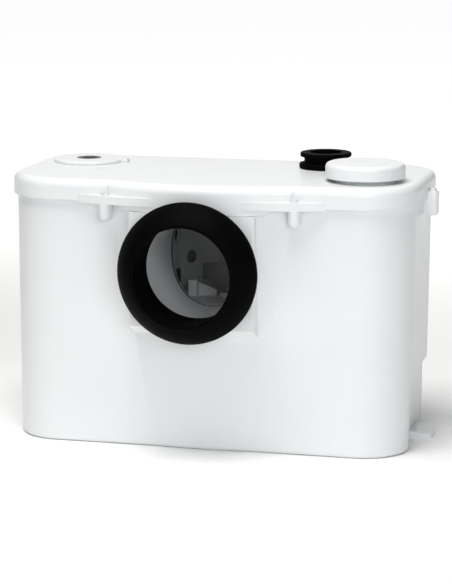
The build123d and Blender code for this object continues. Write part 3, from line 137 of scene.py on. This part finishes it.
class StageSettings(bpy.types.PropertyGroup):
    floor_colour: colour_setting("Floor", "Colour of the plain floor", (0.98, 0.98, 0.98))
    floor_size: length_setting("Floor size", "Width of the floor", 30.0)
    floor_glow: strength_setting("Floor glow", "Glow of the lit backdrop behind the pump", 0.65)
    glow_start: length_setting("Glow start", "How far behind the pump the glow starts", 0.2)
    glow_full: length_setting("Glow full", "How far behind the pump the glow is full", 1.6)
    focal_length: bpy.props.FloatProperty(
        name="Focal length", description="Focal length for the sensor's width", min=20.0, default=142.7)
    sensor_width: bpy.props.FloatProperty(
        name="Sensor width", description="Width of the camera's sensor in mm", min=10.0, default=36.0)
    azimuth: bpy.props.FloatProperty(
        name="Camera turn", description="How far the camera stands round to the right",
        subtype="ANGLE", default=math.radians(14.01))
    elevation: bpy.props.FloatProperty(
        name="Camera drop", description="How far the camera looks down", subtype="ANGLE",
        default=math.radians(10.92))
    camera_place: place_setting("Camera place", "Where the camera stands", (0.5514, -2.2012, 0.5774))
    light_aim: place_setting("Light aim", "Where both lights point", (0.0, 0.0, 0.14))
    key_power: strength_setting("Key light", "Power of the main light", 17.5)
    key_size: length_setting("Key size", "Width of the main light", 1.0)
    key_place: place_setting("Key place", "Where the main light hangs", (1.15, -2.1, 0.9))
    key_colour: colour_setting("Key colour", "Cool white of the main light", (0.955, 0.985, 1.0))
    top_power: strength_setting("Top light", "Power of the light overhead", 27.5)
    top_size: length_setting("Top size", "Width of the light overhead", 1.0)
    top_place: place_setting("Top place", "Where the light overhead hangs", (-0.12, -0.5, 1.9))
    top_colour: colour_setting("Top colour", "Warm white of the light overhead", (1.0, 0.995, 0.97))
    sky_strength: strength_setting("Sky", "Strength of the soft white surround", 0.69)
    right_shade: share_setting("Right side", "How bright the surround is on the right", 0.0)
    left_shade: share_setting("Left side", "How bright the surround is on the left", 0.1)


# Node and material helpers.


def add_node(tree, kind, x, y, **settings):
    node = tree.nodes.new(kind)
    node.location = (x, y)
    for name, value in settings.items():
        setattr(node, name, value)
    return node


def new_group(name, inputs, outputs):
    """A shader node group with named sockets; returns its tree, input node and output node."""
    tree = bpy.data.node_groups.new(name, "ShaderNodeTree")
    for socket, kind, value in inputs:
        made = tree.interface.new_socket(name=socket, in_out="INPUT", socket_type=kind)
        made.default_value = value
    for socket, kind in outputs:
        tree.interface.new_socket(name=socket, in_out="OUTPUT", socket_type=kind)
    return tree, add_node(tree, "NodeGroupInput", -900, 0), add_node(tree, "NodeGroupOutput", 700, 0)


def maths(tree, operation, x, y, first, second):
    """A maths node fed by two sockets or numbers; returns its output."""
    node = add_node(tree, "ShaderNodeMath", x, y, operation=operation)
    for slot, source in ((0, first), (1, second)):
        if isinstance(source, (int, float)):
            node.inputs[slot].default_value = source
        else:
            tree.links.new(source, node.inputs[slot])
    return node.outputs[0]


def moulded_grain_group():
    """Fine moulded grain and slow flow marks: a height, a roughness and a mask of the flow marks."""
    number = "NodeSocketFloat"
    tree, given, result = new_group(
        "Moulded grain",
        [("Grain Scale", number, 1000.0), ("Flow Scale", number, 14.0), ("Roughness", number, 0.35),
         ("Spread", number, 0.08)],
        [("Height", number), ("Roughness", number), ("Flow", number)])
    place = add_node(tree, "ShaderNodeTexCoord", -900, -300)
    fine = add_node(tree, "ShaderNodeTexNoise", -500, 200)
    fine.inputs["Detail"].default_value = 2.0
    flow = add_node(tree, "ShaderNodeTexNoise", -500, -150)
    flow.inputs["Detail"].default_value = 3.0
    flow.inputs["Distortion"].default_value = 0.6
    for noise, scale in ((fine, "Grain Scale"), (flow, "Flow Scale")):
        tree.links.new(place.outputs["Object"], noise.inputs["Vector"])
        tree.links.new(given.outputs[scale], noise.inputs["Scale"])
    centred = maths(tree, "SUBTRACT", -250, -200, flow.outputs["Fac"], 0.5)
    spread = maths(tree, "MULTIPLY", -50, -200, centred, given.outputs["Spread"])
    rough = maths(tree, "ADD", 200, -200, spread, given.outputs["Roughness"])
    tree.links.new(fine.outputs["Fac"], result.inputs["Height"])
    tree.links.new(rough, result.inputs["Roughness"])
    tree.links.new(flow.outputs["Fac"], result.inputs["Flow"])
    return tree


def settled_dust_group():
    """Dust that lies on upward faces in soft patches: mixes a dust colour over the given colour."""
    number, colour = "NodeSocketFloat", "NodeSocketColor"
    tree, given, result = new_group(
        "Settled dust",
        [("Colour", colour, (0.5, 0.5, 0.5, 1.0)), ("Dust", colour, (0.4, 0.38, 0.35, 1.0)),
         ("Amount", number, 0.1), ("Patch Scale", number, 30.0)],
        [("Colour", colour), ("Mask", number)])
    place = add_node(tree, "ShaderNodeTexCoord", -900, -300)
    patches = add_node(tree, "ShaderNodeTexNoise", -600, -100)
    patches.inputs["Detail"].default_value = 5.0
    tree.links.new(place.outputs["Object"], patches.inputs["Vector"])
    tree.links.new(given.outputs["Patch Scale"], patches.inputs["Scale"])
    split = add_node(tree, "ShaderNodeSeparateXYZ", -600, -400)
    tree.links.new(place.outputs["Normal"], split.inputs[0])
    upward = maths(tree, "MAXIMUM", -400, -400, split.outputs["Z"], 0.0)
    lying = maths(tree, "MULTIPLY", -200, -250, upward, patches.outputs["Fac"])
    mask = maths(tree, "MULTIPLY", 0, -250, lying, given.outputs["Amount"])
    mixed = add_node(tree, "ShaderNodeMix", 300, 0, data_type="RGBA")
    tree.links.new(mask, mixed.inputs["Factor"])
    tree.links.new(given.outputs["Colour"], mixed.inputs["A"])
    tree.links.new(given.outputs["Dust"], mixed.inputs["B"])
    tree.links.new(mixed.outputs["Result"], result.inputs["Colour"])
    tree.links.new(mask, result.inputs["Mask"])
    return tree


def brushed_lines_group():
    """Fine drawn lines round the upright axis, with slower smears: a height and a roughness."""
    number = "NodeSocketFloat"
    tree, given, result = new_group(
        "Brushed lines",
        [("Line Scale", number, 2500.0), ("Roughness", number, 0.3), ("Spread", number, 0.15)],
        [("Height", number), ("Roughness", number)])
    place = add_node(tree, "ShaderNodeTexCoord", -900, -300)
    stretch = add_node(tree, "ShaderNodeMapping", -700, 100)
    stretch.inputs["Scale"].default_value = (0.04, 0.04, 1.0)
    lines = add_node(tree, "ShaderNodeTexNoise", -450, 200)
    lines.inputs["Detail"].default_value = 3.0
    smears = add_node(tree, "ShaderNodeTexNoise", -450, -150)
    smears.inputs["Scale"].default_value = 60.0
    tree.links.new(place.outputs["Object"], stretch.inputs["Vector"])
    tree.links.new(stretch.outputs["Vector"], lines.inputs["Vector"])
    tree.links.new(place.outputs["Object"], smears.inputs["Vector"])
    tree.links.new(given.outputs["Line Scale"], lines.inputs["Scale"])
    both = maths(tree, "ADD", -200, -100, lines.outputs["Fac"], smears.outputs["Fac"])
    centred = maths(tree, "SUBTRACT", 0, -100, both, 1.0)
    spread = maths(tree, "MULTIPLY", 150, -100, centred, given.outputs["Spread"])
    rough = maths(tree, "ADD", 350, -100, spread, given.outputs["Roughness"])
    tree.links.new(lines.outputs["Fac"], result.inputs["Height"])
    tree.links.new(rough, result.inputs["Roughness"])
    return tree


GROUPS = {}


def effect(tree, key, x, y, **values):
    """Places one of the shared effects in a material, built the first time it is asked for."""
    makers = {"grain": moulded_grain_group, "dust": settled_dust_group, "lines": brushed_lines_group}
    if key not in GROUPS:
        GROUPS[key] = makers[key]()
    node = add_node(tree, "ShaderNodeGroup", x, y, node_tree=GROUPS[key])
    for name, value in values.items():
        node.inputs[name.replace("_", " ")].default_value = value
    return node


def opaque(colour):
    return (colour[0], colour[1], colour[2], 1.0)


def scaled(colour, share):
    """The same colour, darker or lighter."""
    return tuple(share * channel for channel in colour)


def blank_material(name):
    """A new material with its shader; returns the material, its tree and the shader."""
    material = bpy.data.materials.new(name)
    material.use_nodes = True
    tree = material.node_tree
    shader = tree.nodes["Principled BSDF"]
    shader.location = (700, 0)
    return material, tree, shader


def raise_surface(tree, shader, height, depth, x=450, y=-300):
    """Feeds a height into the shader's normal through a bump of that depth."""
    bump = add_node(tree, "ShaderNodeBump", x, y)
    bump.inputs["Strength"].default_value = 1.0
    bump.inputs["Distance"].default_value = depth
    tree.links.new(height, bump.inputs["Height"])
    tree.links.new(bump.outputs["Normal"], shader.inputs["Normal"])
    return bump


def moulded_plastic(
        name, colour, shade, roughness, grain_size, grain_depth, dust=0.05, spread=0.1, specular=0.5):
    """Moulded plastic or rubber: fine grain, slow flow marks in tone and gloss, and a breath of dust."""
    material, tree, shader = blank_material(name)
    grain = effect(
        tree, "grain", -400, 0, Grain_Scale=1.0 / grain_size, Roughness=roughness, Spread=spread)
    tone = add_node(tree, "ShaderNodeMix", -100, 200, data_type="RGBA")
    tone.inputs["A"].default_value = opaque(colour)
    tone.inputs["B"].default_value = opaque(shade)
    tree.links.new(grain.outputs["Flow"], tone.inputs["Factor"])
    lying = effect(tree, "dust", 200, 200, Amount=dust, Dust=(0.55, 0.53, 0.5, 1.0))
    tree.links.new(tone.outputs["Result"], lying.inputs["Colour"])
    tree.links.new(lying.outputs["Colour"], shader.inputs["Base Color"])
    tree.links.new(grain.outputs["Roughness"], shader.inputs["Roughness"])
    shader.inputs["Specular IOR Level"].default_value = specular
    raise_surface(tree, shader, grain.outputs["Height"], grain_depth)
    return material


def drawn_metal(name, colour, roughness, line_size, line_depth=0.000008, metallic=1.0):
    """Drawn, turned or rolled metal with fine lines and smears of gloss."""
    material, tree, shader = blank_material(name)
    lines = effect(tree, "lines", -300, 0, Line_Scale=1.0 / line_size, Roughness=roughness)
    lying = effect(
        tree, "dust", 100, 200, Amount=0.1, Colour=opaque(colour), Dust=(0.2, 0.19, 0.18, 1.0))
    tree.links.new(lying.outputs["Colour"], shader.inputs["Base Color"])
    tree.links.new(lines.outputs["Roughness"], shader.inputs["Roughness"])
    shader.inputs["Metallic"].default_value = metallic
    raise_surface(tree, shader, lines.outputs["Height"], line_depth)
    return material


def cast_metal(name, colour, roughness, pit_size, pit_depth=0.00006):
    """Cast aluminium with a soft pitted skin."""
    material, tree, shader = blank_material(name)
    grain = effect(tree, "grain", -400, 0, Grain_Scale=1.0 / pit_size, Roughness=roughness, Spread=0.25)
    lying = effect(
        tree, "dust", 100, 200, Amount=0.15, Colour=opaque(colour), Dust=(0.25, 0.24, 0.23, 1.0))
    tree.links.new(lying.outputs["Colour"], shader.inputs["Base Color"])
    tree.links.new(grain.outputs["Roughness"], shader.inputs["Roughness"])
    shader.inputs["Metallic"].default_value = 1.0
    raise_surface(tree, shader, grain.outputs["Height"], pit_depth)
    return material


def banded(name, colour, pitch, direction, kind, roughness, metallic, depth):
    """Stacked sheets or wound wire: fine bands of that pitch, with a darker line between them."""
    material, tree, shader = blank_material(name)
    place = add_node(tree, "ShaderNodeTexCoord", -900, 0)
    bands = add_node(tree, "ShaderNodeTexWave", -600, 0, wave_type=kind)
    if kind == "BANDS":
        bands.bands_direction = direction
    else:
        bands.rings_direction = direction
    bands.inputs["Scale"].default_value = math.tau / (20.0 * pitch)
    bands.inputs["Distortion"].default_value = 0.4
    tree.links.new(place.outputs["Object"], bands.inputs["Vector"])
    tone = add_node(tree, "ShaderNodeMix", -250, 200, data_type="RGBA")
    tone.inputs["A"].default_value = opaque(scaled(colour, 0.45))
    tone.inputs["B"].default_value = opaque(colour)
    tree.links.new(bands.outputs["Fac"], tone.inputs["Factor"])
    lying = effect(tree, "dust", 100, 200, Amount=0.1)
    tree.links.new(tone.outputs["Result"], lying.inputs["Colour"])
    tree.links.new(lying.outputs["Colour"], shader.inputs["Base Color"])
    grain = effect(tree, "grain", -400, -300, Grain_Scale=1500.0, Roughness=roughness, Spread=0.2)
    tree.links.new(grain.outputs["Roughness"], shader.inputs["Roughness"])
    shader.inputs["Metallic"].default_value = metallic
    raise_surface(tree, shader, bands.outputs["Fac"], depth)
    return material


def open_cell_foam(name, colour, cell_size, cell_depth=0.0006):
    """Carbon foam: open cells, their pits darkened with painted shade."""
    material, tree, shader = blank_material(name)
    place = add_node(tree, "ShaderNodeTexCoord", -900, 0)
    cells = add_node(tree, "ShaderNodeTexVoronoi", -600, 0)
    cells.inputs["Scale"].default_value = 1.0 / cell_size
    tree.links.new(place.outputs["Object"], cells.inputs["Vector"])
    # Painted shade: the colour darkens towards each cell's middle, where the pit lies, and pales towards
    # its rim.
    tone = add_node(tree, "ShaderNodeMix", -250, 200, data_type="RGBA")
    tone.inputs["A"].default_value = opaque(scaled(colour, 0.3))
    tone.inputs["B"].default_value = opaque(scaled(colour, 2.0))
    tree.links.new(cells.outputs["Distance"], tone.inputs["Factor"])
    tree.links.new(tone.outputs["Result"], shader.inputs["Base Color"])
    grain = effect(tree, "grain", -400, -300, Grain_Scale=2000.0, Roughness=0.85, Spread=0.1)
    tree.links.new(grain.outputs["Roughness"], shader.inputs["Roughness"])
    raise_surface(tree, shader, cells.outputs["Distance"], cell_depth)
    return material


# Helpers for pieces.


def dress(material, *names):
    """Gives a material to parts of the frame."""
    for name in names:
        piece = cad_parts[name]
        if not piece.material_slots:
            piece.data.materials.append(material)
        for place in piece.material_slots:
            place.material = material


def finish_piece(shape, name, material, body, smooth=True):
    """Turns a bmesh into a piece that rides on a body."""
    mesh = bpy.data.meshes.new(name)
    for face in shape.faces:
        face.smooth = smooth
    shape.to_mesh(mesh)
    shape.free()
    piece = bpy.data.objects.new(name, mesh)
    bpy.context.scene.collection.objects.link(piece)
    mesh.materials.append(material)
    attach(piece, body)
    return piece


# The operators, one for each group of like parts.


class PUMP_OT_dress_shell(bpy.types.Operator):
    """Gives the tank, lid, service cap and vent cover their white moulded plastic"""

    bl_idname = "pump.dress_shell"
    bl_label = "Dress the white shell"

    def execute(self, context):
        chosen = context.scene.pump_shell
        white = moulded_plastic(
            "white moulded plastic", chosen.colour, chosen.shade, chosen.roughness, chosen.grain_size,
            chosen.grain_depth, dust=0.03)
        dress(white, "tank", "inlet_tunnel", "lid", "top_cap", "vent_cover")
        return {"FINISHED"}


class PUMP_OT_dress_rubber(bpy.types.Operator):
    """Gives the pan connector, sleeve, seals and feet their black rubber"""

    bl_idname = "pump.dress_rubber"
    bl_label = "Dress the rubber"

    def execute(self, context):
        chosen = context.scene.pump_rubber
        rubber = moulded_plastic(
            "black moulded rubber", chosen.colour, chosen.bloom, chosen.roughness, chosen.grain_size,
            chosen.grain_depth, dust=0.001, spread=0.2, specular=0.02)
        dress(rubber, "wc_collar", "discharge_sleeve", "basket_gasket", "lid_seal", "cap_ring",
              "membrane", "upper_shaft_seal", "lower_shaft_seal", "pump_rubbers")
        return {"FINISHED"}


class PUMP_OT_dress_pump(bpy.types.Operator):
    """Gives the grinder basket, pump, pipes and boxes their grey plastic"""

    bl_idname = "pump.dress_pump"
    bl_label = "Dress the grey plastic"

    def execute(self, context):
        chosen = context.scene.pump_plastics
        grey = moulded_plastic(
            "grey moulded plastic", chosen.grey, scaled(chosen.grey, 0.82), chosen.roughness,
            chosen.grain_size, chosen.grey_depth, dust=0.12, spread=0.2)
        pale = moulded_plastic(
            "pale grey moulded plastic", chosen.basket, scaled(chosen.basket, 0.86), chosen.roughness,
            chosen.grain_size, chosen.basket_depth, dust=0.08, spread=0.2)
        dress(pale, "grinder_basket", "basket_cover")
        dress(grey, "volute", "pump_plate", "impeller", "discharge_elbow", "discharge_riser",
              "valve_body", "valve_cap", "valve_flap", "pressure_bell", "electrics_box",
              "electrics_lid", "cable_gland", "gland_nut")
        return {"FINISHED"}


class PUMP_OT_dress_switch(bpy.types.Operator):
    """Gives the level switch, terminals, capacitor and vent parts their small plastics"""

    bl_idname = "pump.dress_switch"
    bl_label = "Dress the switch and electrics"

    def execute(self, context):
        chosen = context.scene.pump_plastics
        dressed = (
            ("ivory plastic", chosen.ivory, ("switch_plunger", "capacitor", "terminal_block")),
            ("red plastic", chosen.red, ("switch_button",)),
            ("black plastic", chosen.black, ("microswitch", "vent_core")),
        )
        for name, colour, pieces in dressed:
            plastic = moulded_plastic(
                name, colour, scaled(colour, 0.8), chosen.small_roughness, chosen.small_grain,
                chosen.small_depth, dust=0.08, spread=0.15)
            dress(plastic, *pieces)
        dress(open_cell_foam("carbon foam", chosen.carbon, chosen.cell_size), "carbon_filter")
        return {"FINISHED"}


class PUMP_OT_dress_metal(bpy.types.Operator):
    """Gives the rotor, shaft, screws, motor and windings their metals"""

    bl_idname = "pump.dress_metal"
    bl_label = "Dress the metals"

    def execute(self, context):
        chosen = context.scene.pump_metals
        steel = drawn_metal(
            "brushed stainless steel", chosen.steel, roughness=0.32, line_size=chosen.line_size)
        blasted = drawn_metal(
            "blasted steel", chosen.blasted, roughness=0.6, line_size=0.0009, line_depth=0.00003,
            metallic=0.55)
        zinc = drawn_metal(
            "pale zinc plate", chosen.zinc, roughness=0.45, line_size=chosen.line_size, metallic=0.4)
        cast = cast_metal("cast aluminium", chosen.aluminium, roughness=0.42, pit_size=0.0012)
        sheets = banded(
            "stacked core sheets", chosen.core, pitch=chosen.sheet_size, direction="Z", kind="BANDS",
            roughness=0.45, metallic=1.0, depth=0.00006)
        wire = banded(
            "varnished copper wire", chosen.copper, pitch=chosen.wire_size, direction="Z", kind="RINGS",
            roughness=0.3, metallic=1.0, depth=0.0002)
        dress(blasted, "blade_rotor")
        dress(zinc, "lid_screws")
        dress(steel, "motor_shaft", "rotor_nut", "impeller_nut", "flap_pin", "stack_screws_upper",
              "stack_screws_lower", "valve_screws", "upper_bearing", "lower_bearing",
              "switch_bracket")
        dress(cast, "motor_can", "motor_cover")
        dress(sheets, "stator_core", "armature")
        dress(wire, "stator_windings")
        return {"FINISHED"}


class PUMP_OT_add_gate_marks(bpy.types.Operator):
    """Adds the small round moulding marks on the lid"""

    bl_idname = "pump.add_gate_marks"
    bl_label = "Add the gate marks"

    def execute(self, context):
        chosen = context.scene.pump_details
        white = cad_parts["lid"].material_slots[0].material
        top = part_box("lid")[1][2]
        for count, (x, y) in enumerate(GATE_PLACES):
            shape = bmesh.new()
            made = bmesh.ops.create_circle(
                shape, cap_ends=True, segments=24, radius=chosen.gate_radius)
            bmesh.ops.translate(shape, vec=(x, y, top), verts=made["verts"])
            raised = bmesh.ops.extrude_face_region(shape, geom=shape.faces[:])
            rim = [v for v in raised["geom"] if isinstance(v, bmesh.types.BMVert)]
            bmesh.ops.translate(shape, vec=(0, 0, chosen.gate_height), verts=rim)
            bmesh.ops.scale(
                shape, vec=(chosen.gate_taper, chosen.gate_taper, 1.0), verts=rim,
                space=Matrix.Translation((-x, -y, 0.0)))
            bmesh.ops.recalc_face_normals(shape, faces=shape.faces[:])
            finish_piece(shape, "gate_mark_%d" % (count + 1), white, "housing")
        return {"FINISHED"}


class PUMP_OT_set_stage(bpy.types.Operator):
    """Lays the plain floor, hangs the soft lights and stands the camera"""

    bl_idname = "pump.set_stage"
    bl_label = "Set the stage"

    def execute(self, context):
        chosen = context.scene.pump_stage
        self.lay_floor(context, chosen)
        self.hang_lights(context, chosen)
        self.stand_camera(context, chosen)
        return {"FINISHED"}

    def lay_floor(self, context, chosen):
        shape = bmesh.new()
        bmesh.ops.create_grid(shape, x_segments=1, y_segments=1, size=chosen.floor_size / 2)
        mesh = bpy.data.meshes.new("studio floor")
        shape.to_mesh(mesh)
        shape.free()
        floor = bpy.data.objects.new("studio_floor", mesh)
        context.scene.collection.objects.link(floor)
        material, tree, shader = blank_material("studio floor")
        grain = effect(
            tree, "grain", -300, 0, Grain_Scale=300.0, Flow_Scale=1.5, Roughness=0.8, Spread=0.1)
        tone = add_node(tree, "ShaderNodeMix", 100, 200, data_type="RGBA")
        tone.inputs["A"].default_value = opaque(chosen.floor_colour)
        tone.inputs["B"].default_value = opaque(scaled(chosen.floor_colour, 0.985))
        tree.links.new(grain.outputs["Flow"], tone.inputs["Factor"])
        tree.links.new(tone.outputs["Result"], shader.inputs["Base Color"])
        tree.links.new(grain.outputs["Roughness"], shader.inputs["Roughness"])
        shader.inputs["Specular IOR Level"].default_value = 0.1
        place = add_node(tree, "ShaderNodeTexCoord", -300, -500)
        split = add_node(tree, "ShaderNodeSeparateXYZ", -100, -500)
        tree.links.new(place.outputs["Object"], split.inputs[0])
        fade = add_node(tree, "ShaderNodeMapRange", 100, -500, interpolation_type="SMOOTHSTEP")
        fade.inputs["From Min"].default_value = chosen.glow_start
        fade.inputs["From Max"].default_value = chosen.glow_full
        fade.inputs["To Min"].default_value = 0.0
        fade.inputs["To Max"].default_value = chosen.floor_glow
        tree.links.new(split.outputs["Y"], fade.inputs["Value"])
        tree.links.new(fade.outputs["Result"], shader.inputs["Emission Strength"])
        shader.inputs["Emission Color"].default_value = (1.0, 1.0, 1.0, 1.0)
        mesh.materials.append(material)

    def hang_lights(self, context, chosen):
        world = bpy.data.worlds.new("white studio")
        context.scene.world = world
        world.use_nodes = True
        tree = world.node_tree
        surround = tree.nodes["Background"]
        surround.inputs["Color"].default_value = (1.0, 1.0, 1.0, 1.0)
        look = add_node(tree, "ShaderNodeTexCoord", -900, 0)
        split = add_node(tree, "ShaderNodeSeparateXYZ", -700, 0)
        tree.links.new(look.outputs["Generated"], split.inputs[0])
        sides = []
        for (start, full), shade, y in (
                (RIGHT_SHADE_SPAN, chosen.right_shade, 100), (LEFT_SHADE_SPAN, chosen.left_shade, -200)):
            side = add_node(tree, "ShaderNodeMapRange", -450, y, interpolation_type="SMOOTHSTEP")
            side.inputs["From Min"].default_value = start
            side.inputs["From Max"].default_value = full
            side.inputs["To Min"].default_value = 1.0
            side.inputs["To Max"].default_value = shade
            tree.links.new(split.outputs["X"], side.inputs["Value"])
            sides.append(side.outputs["Result"])
        both = maths(tree, "MULTIPLY", -200, 0, sides[0], sides[1])
        strength = maths(tree, "MULTIPLY", 0, 0, both, chosen.sky_strength)
        tree.links.new(strength, surround.inputs["Strength"])
        context.scene.view_settings.view_transform = "Standard"
        lights = (
            ("key light", chosen.key_power, chosen.key_size, chosen.key_place, chosen.key_colour),
            ("top light", chosen.top_power, chosen.top_size, chosen.top_place, chosen.top_colour),
        )
        for name, power, size, place, colour in lights:
            data = bpy.data.lights.new(name, "AREA")
            data.energy = power
            data.size = size
            data.color = colour
            lamp = bpy.data.objects.new(name, data)
            context.scene.collection.objects.link(lamp)
            lamp.location = place
            aim = Vector(chosen.light_aim) - Vector(place)
            lamp.rotation_euler = aim.to_track_quat("-Z", "Y").to_euler()

    def stand_camera(self, context, chosen):
        data = bpy.data.cameras.new("photo camera")
        data.lens = chosen.focal_length
        data.sensor_width = chosen.sensor_width
        data.clip_end = 60.0
        camera = bpy.data.objects.new("photo camera", data)
        context.scene.collection.objects.link(camera)
        camera.location = chosen.camera_place
        camera.rotation_euler = (math.radians(90.0) - chosen.elevation, 0.0, chosen.azimuth)
        context.scene.camera = camera


GROUPS_OF_SETTINGS = {
    "pump_shell": ShellSettings,
    "pump_rubber": RubberSettings,
    "pump_plastics": PumpSettings,
    "pump_metals": MetalSettings,
    "pump_details": DetailSettings,
    "pump_stage": StageSettings,
}
OPERATORS = (
    PUMP_OT_dress_shell,
    PUMP_OT_dress_rubber,
    PUMP_OT_dress_pump,
    PUMP_OT_dress_switch,
    PUMP_OT_dress_metal,
    PUMP_OT_add_gate_marks,
    PUMP_OT_set_stage,
)


class PUMP_PT_sidebar(bpy.types.Panel):
    """Lists the pump's settings and steps"""

    bl_label = "Macerator toilet pump"
    bl_idname = "PUMP_PT_sidebar"
    bl_space_type = "VIEW_3D"
    bl_region_type = "UI"
    bl_category = "Pump"

    def draw(self, context):
        for name in GROUPS_OF_SETTINGS:
            settings = getattr(context.scene, name)
            box = self.layout.box()
            for key in type(settings).__annotations__:
                box.prop(settings, key)
        for operator in OPERATORS:
            self.layout.operator(operator.bl_idname)


def register():
    for name, settings in GROUPS_OF_SETTINGS.items():
        bpy.utils.register_class(settings)
        setattr(bpy.types.Scene, name, bpy.props.PointerProperty(type=settings))
    for operator in OPERATORS:
        bpy.utils.register_class(operator)
    bpy.utils.register_class(PUMP_PT_sidebar)


def unregister():
    bpy.utils.unregister_class(PUMP_PT_sidebar)
    for operator in reversed(OPERATORS):
        bpy.utils.unregister_class(operator)
    for name, settings in GROUPS_OF_SETTINGS.items():
        delattr(bpy.types.Scene, name)
        bpy.utils.unregister_class(settings)


def main():
    register()
    bpy.ops.pump.dress_shell()
    bpy.ops.pump.dress_rubber()
    bpy.ops.pump.dress_pump()
    bpy.ops.pump.dress_switch()
    bpy.ops.pump.dress_metal()
    bpy.ops.pump.add_gate_marks()
    bpy.ops.pump.set_stage()


if __name__ == "__main__":
    main()
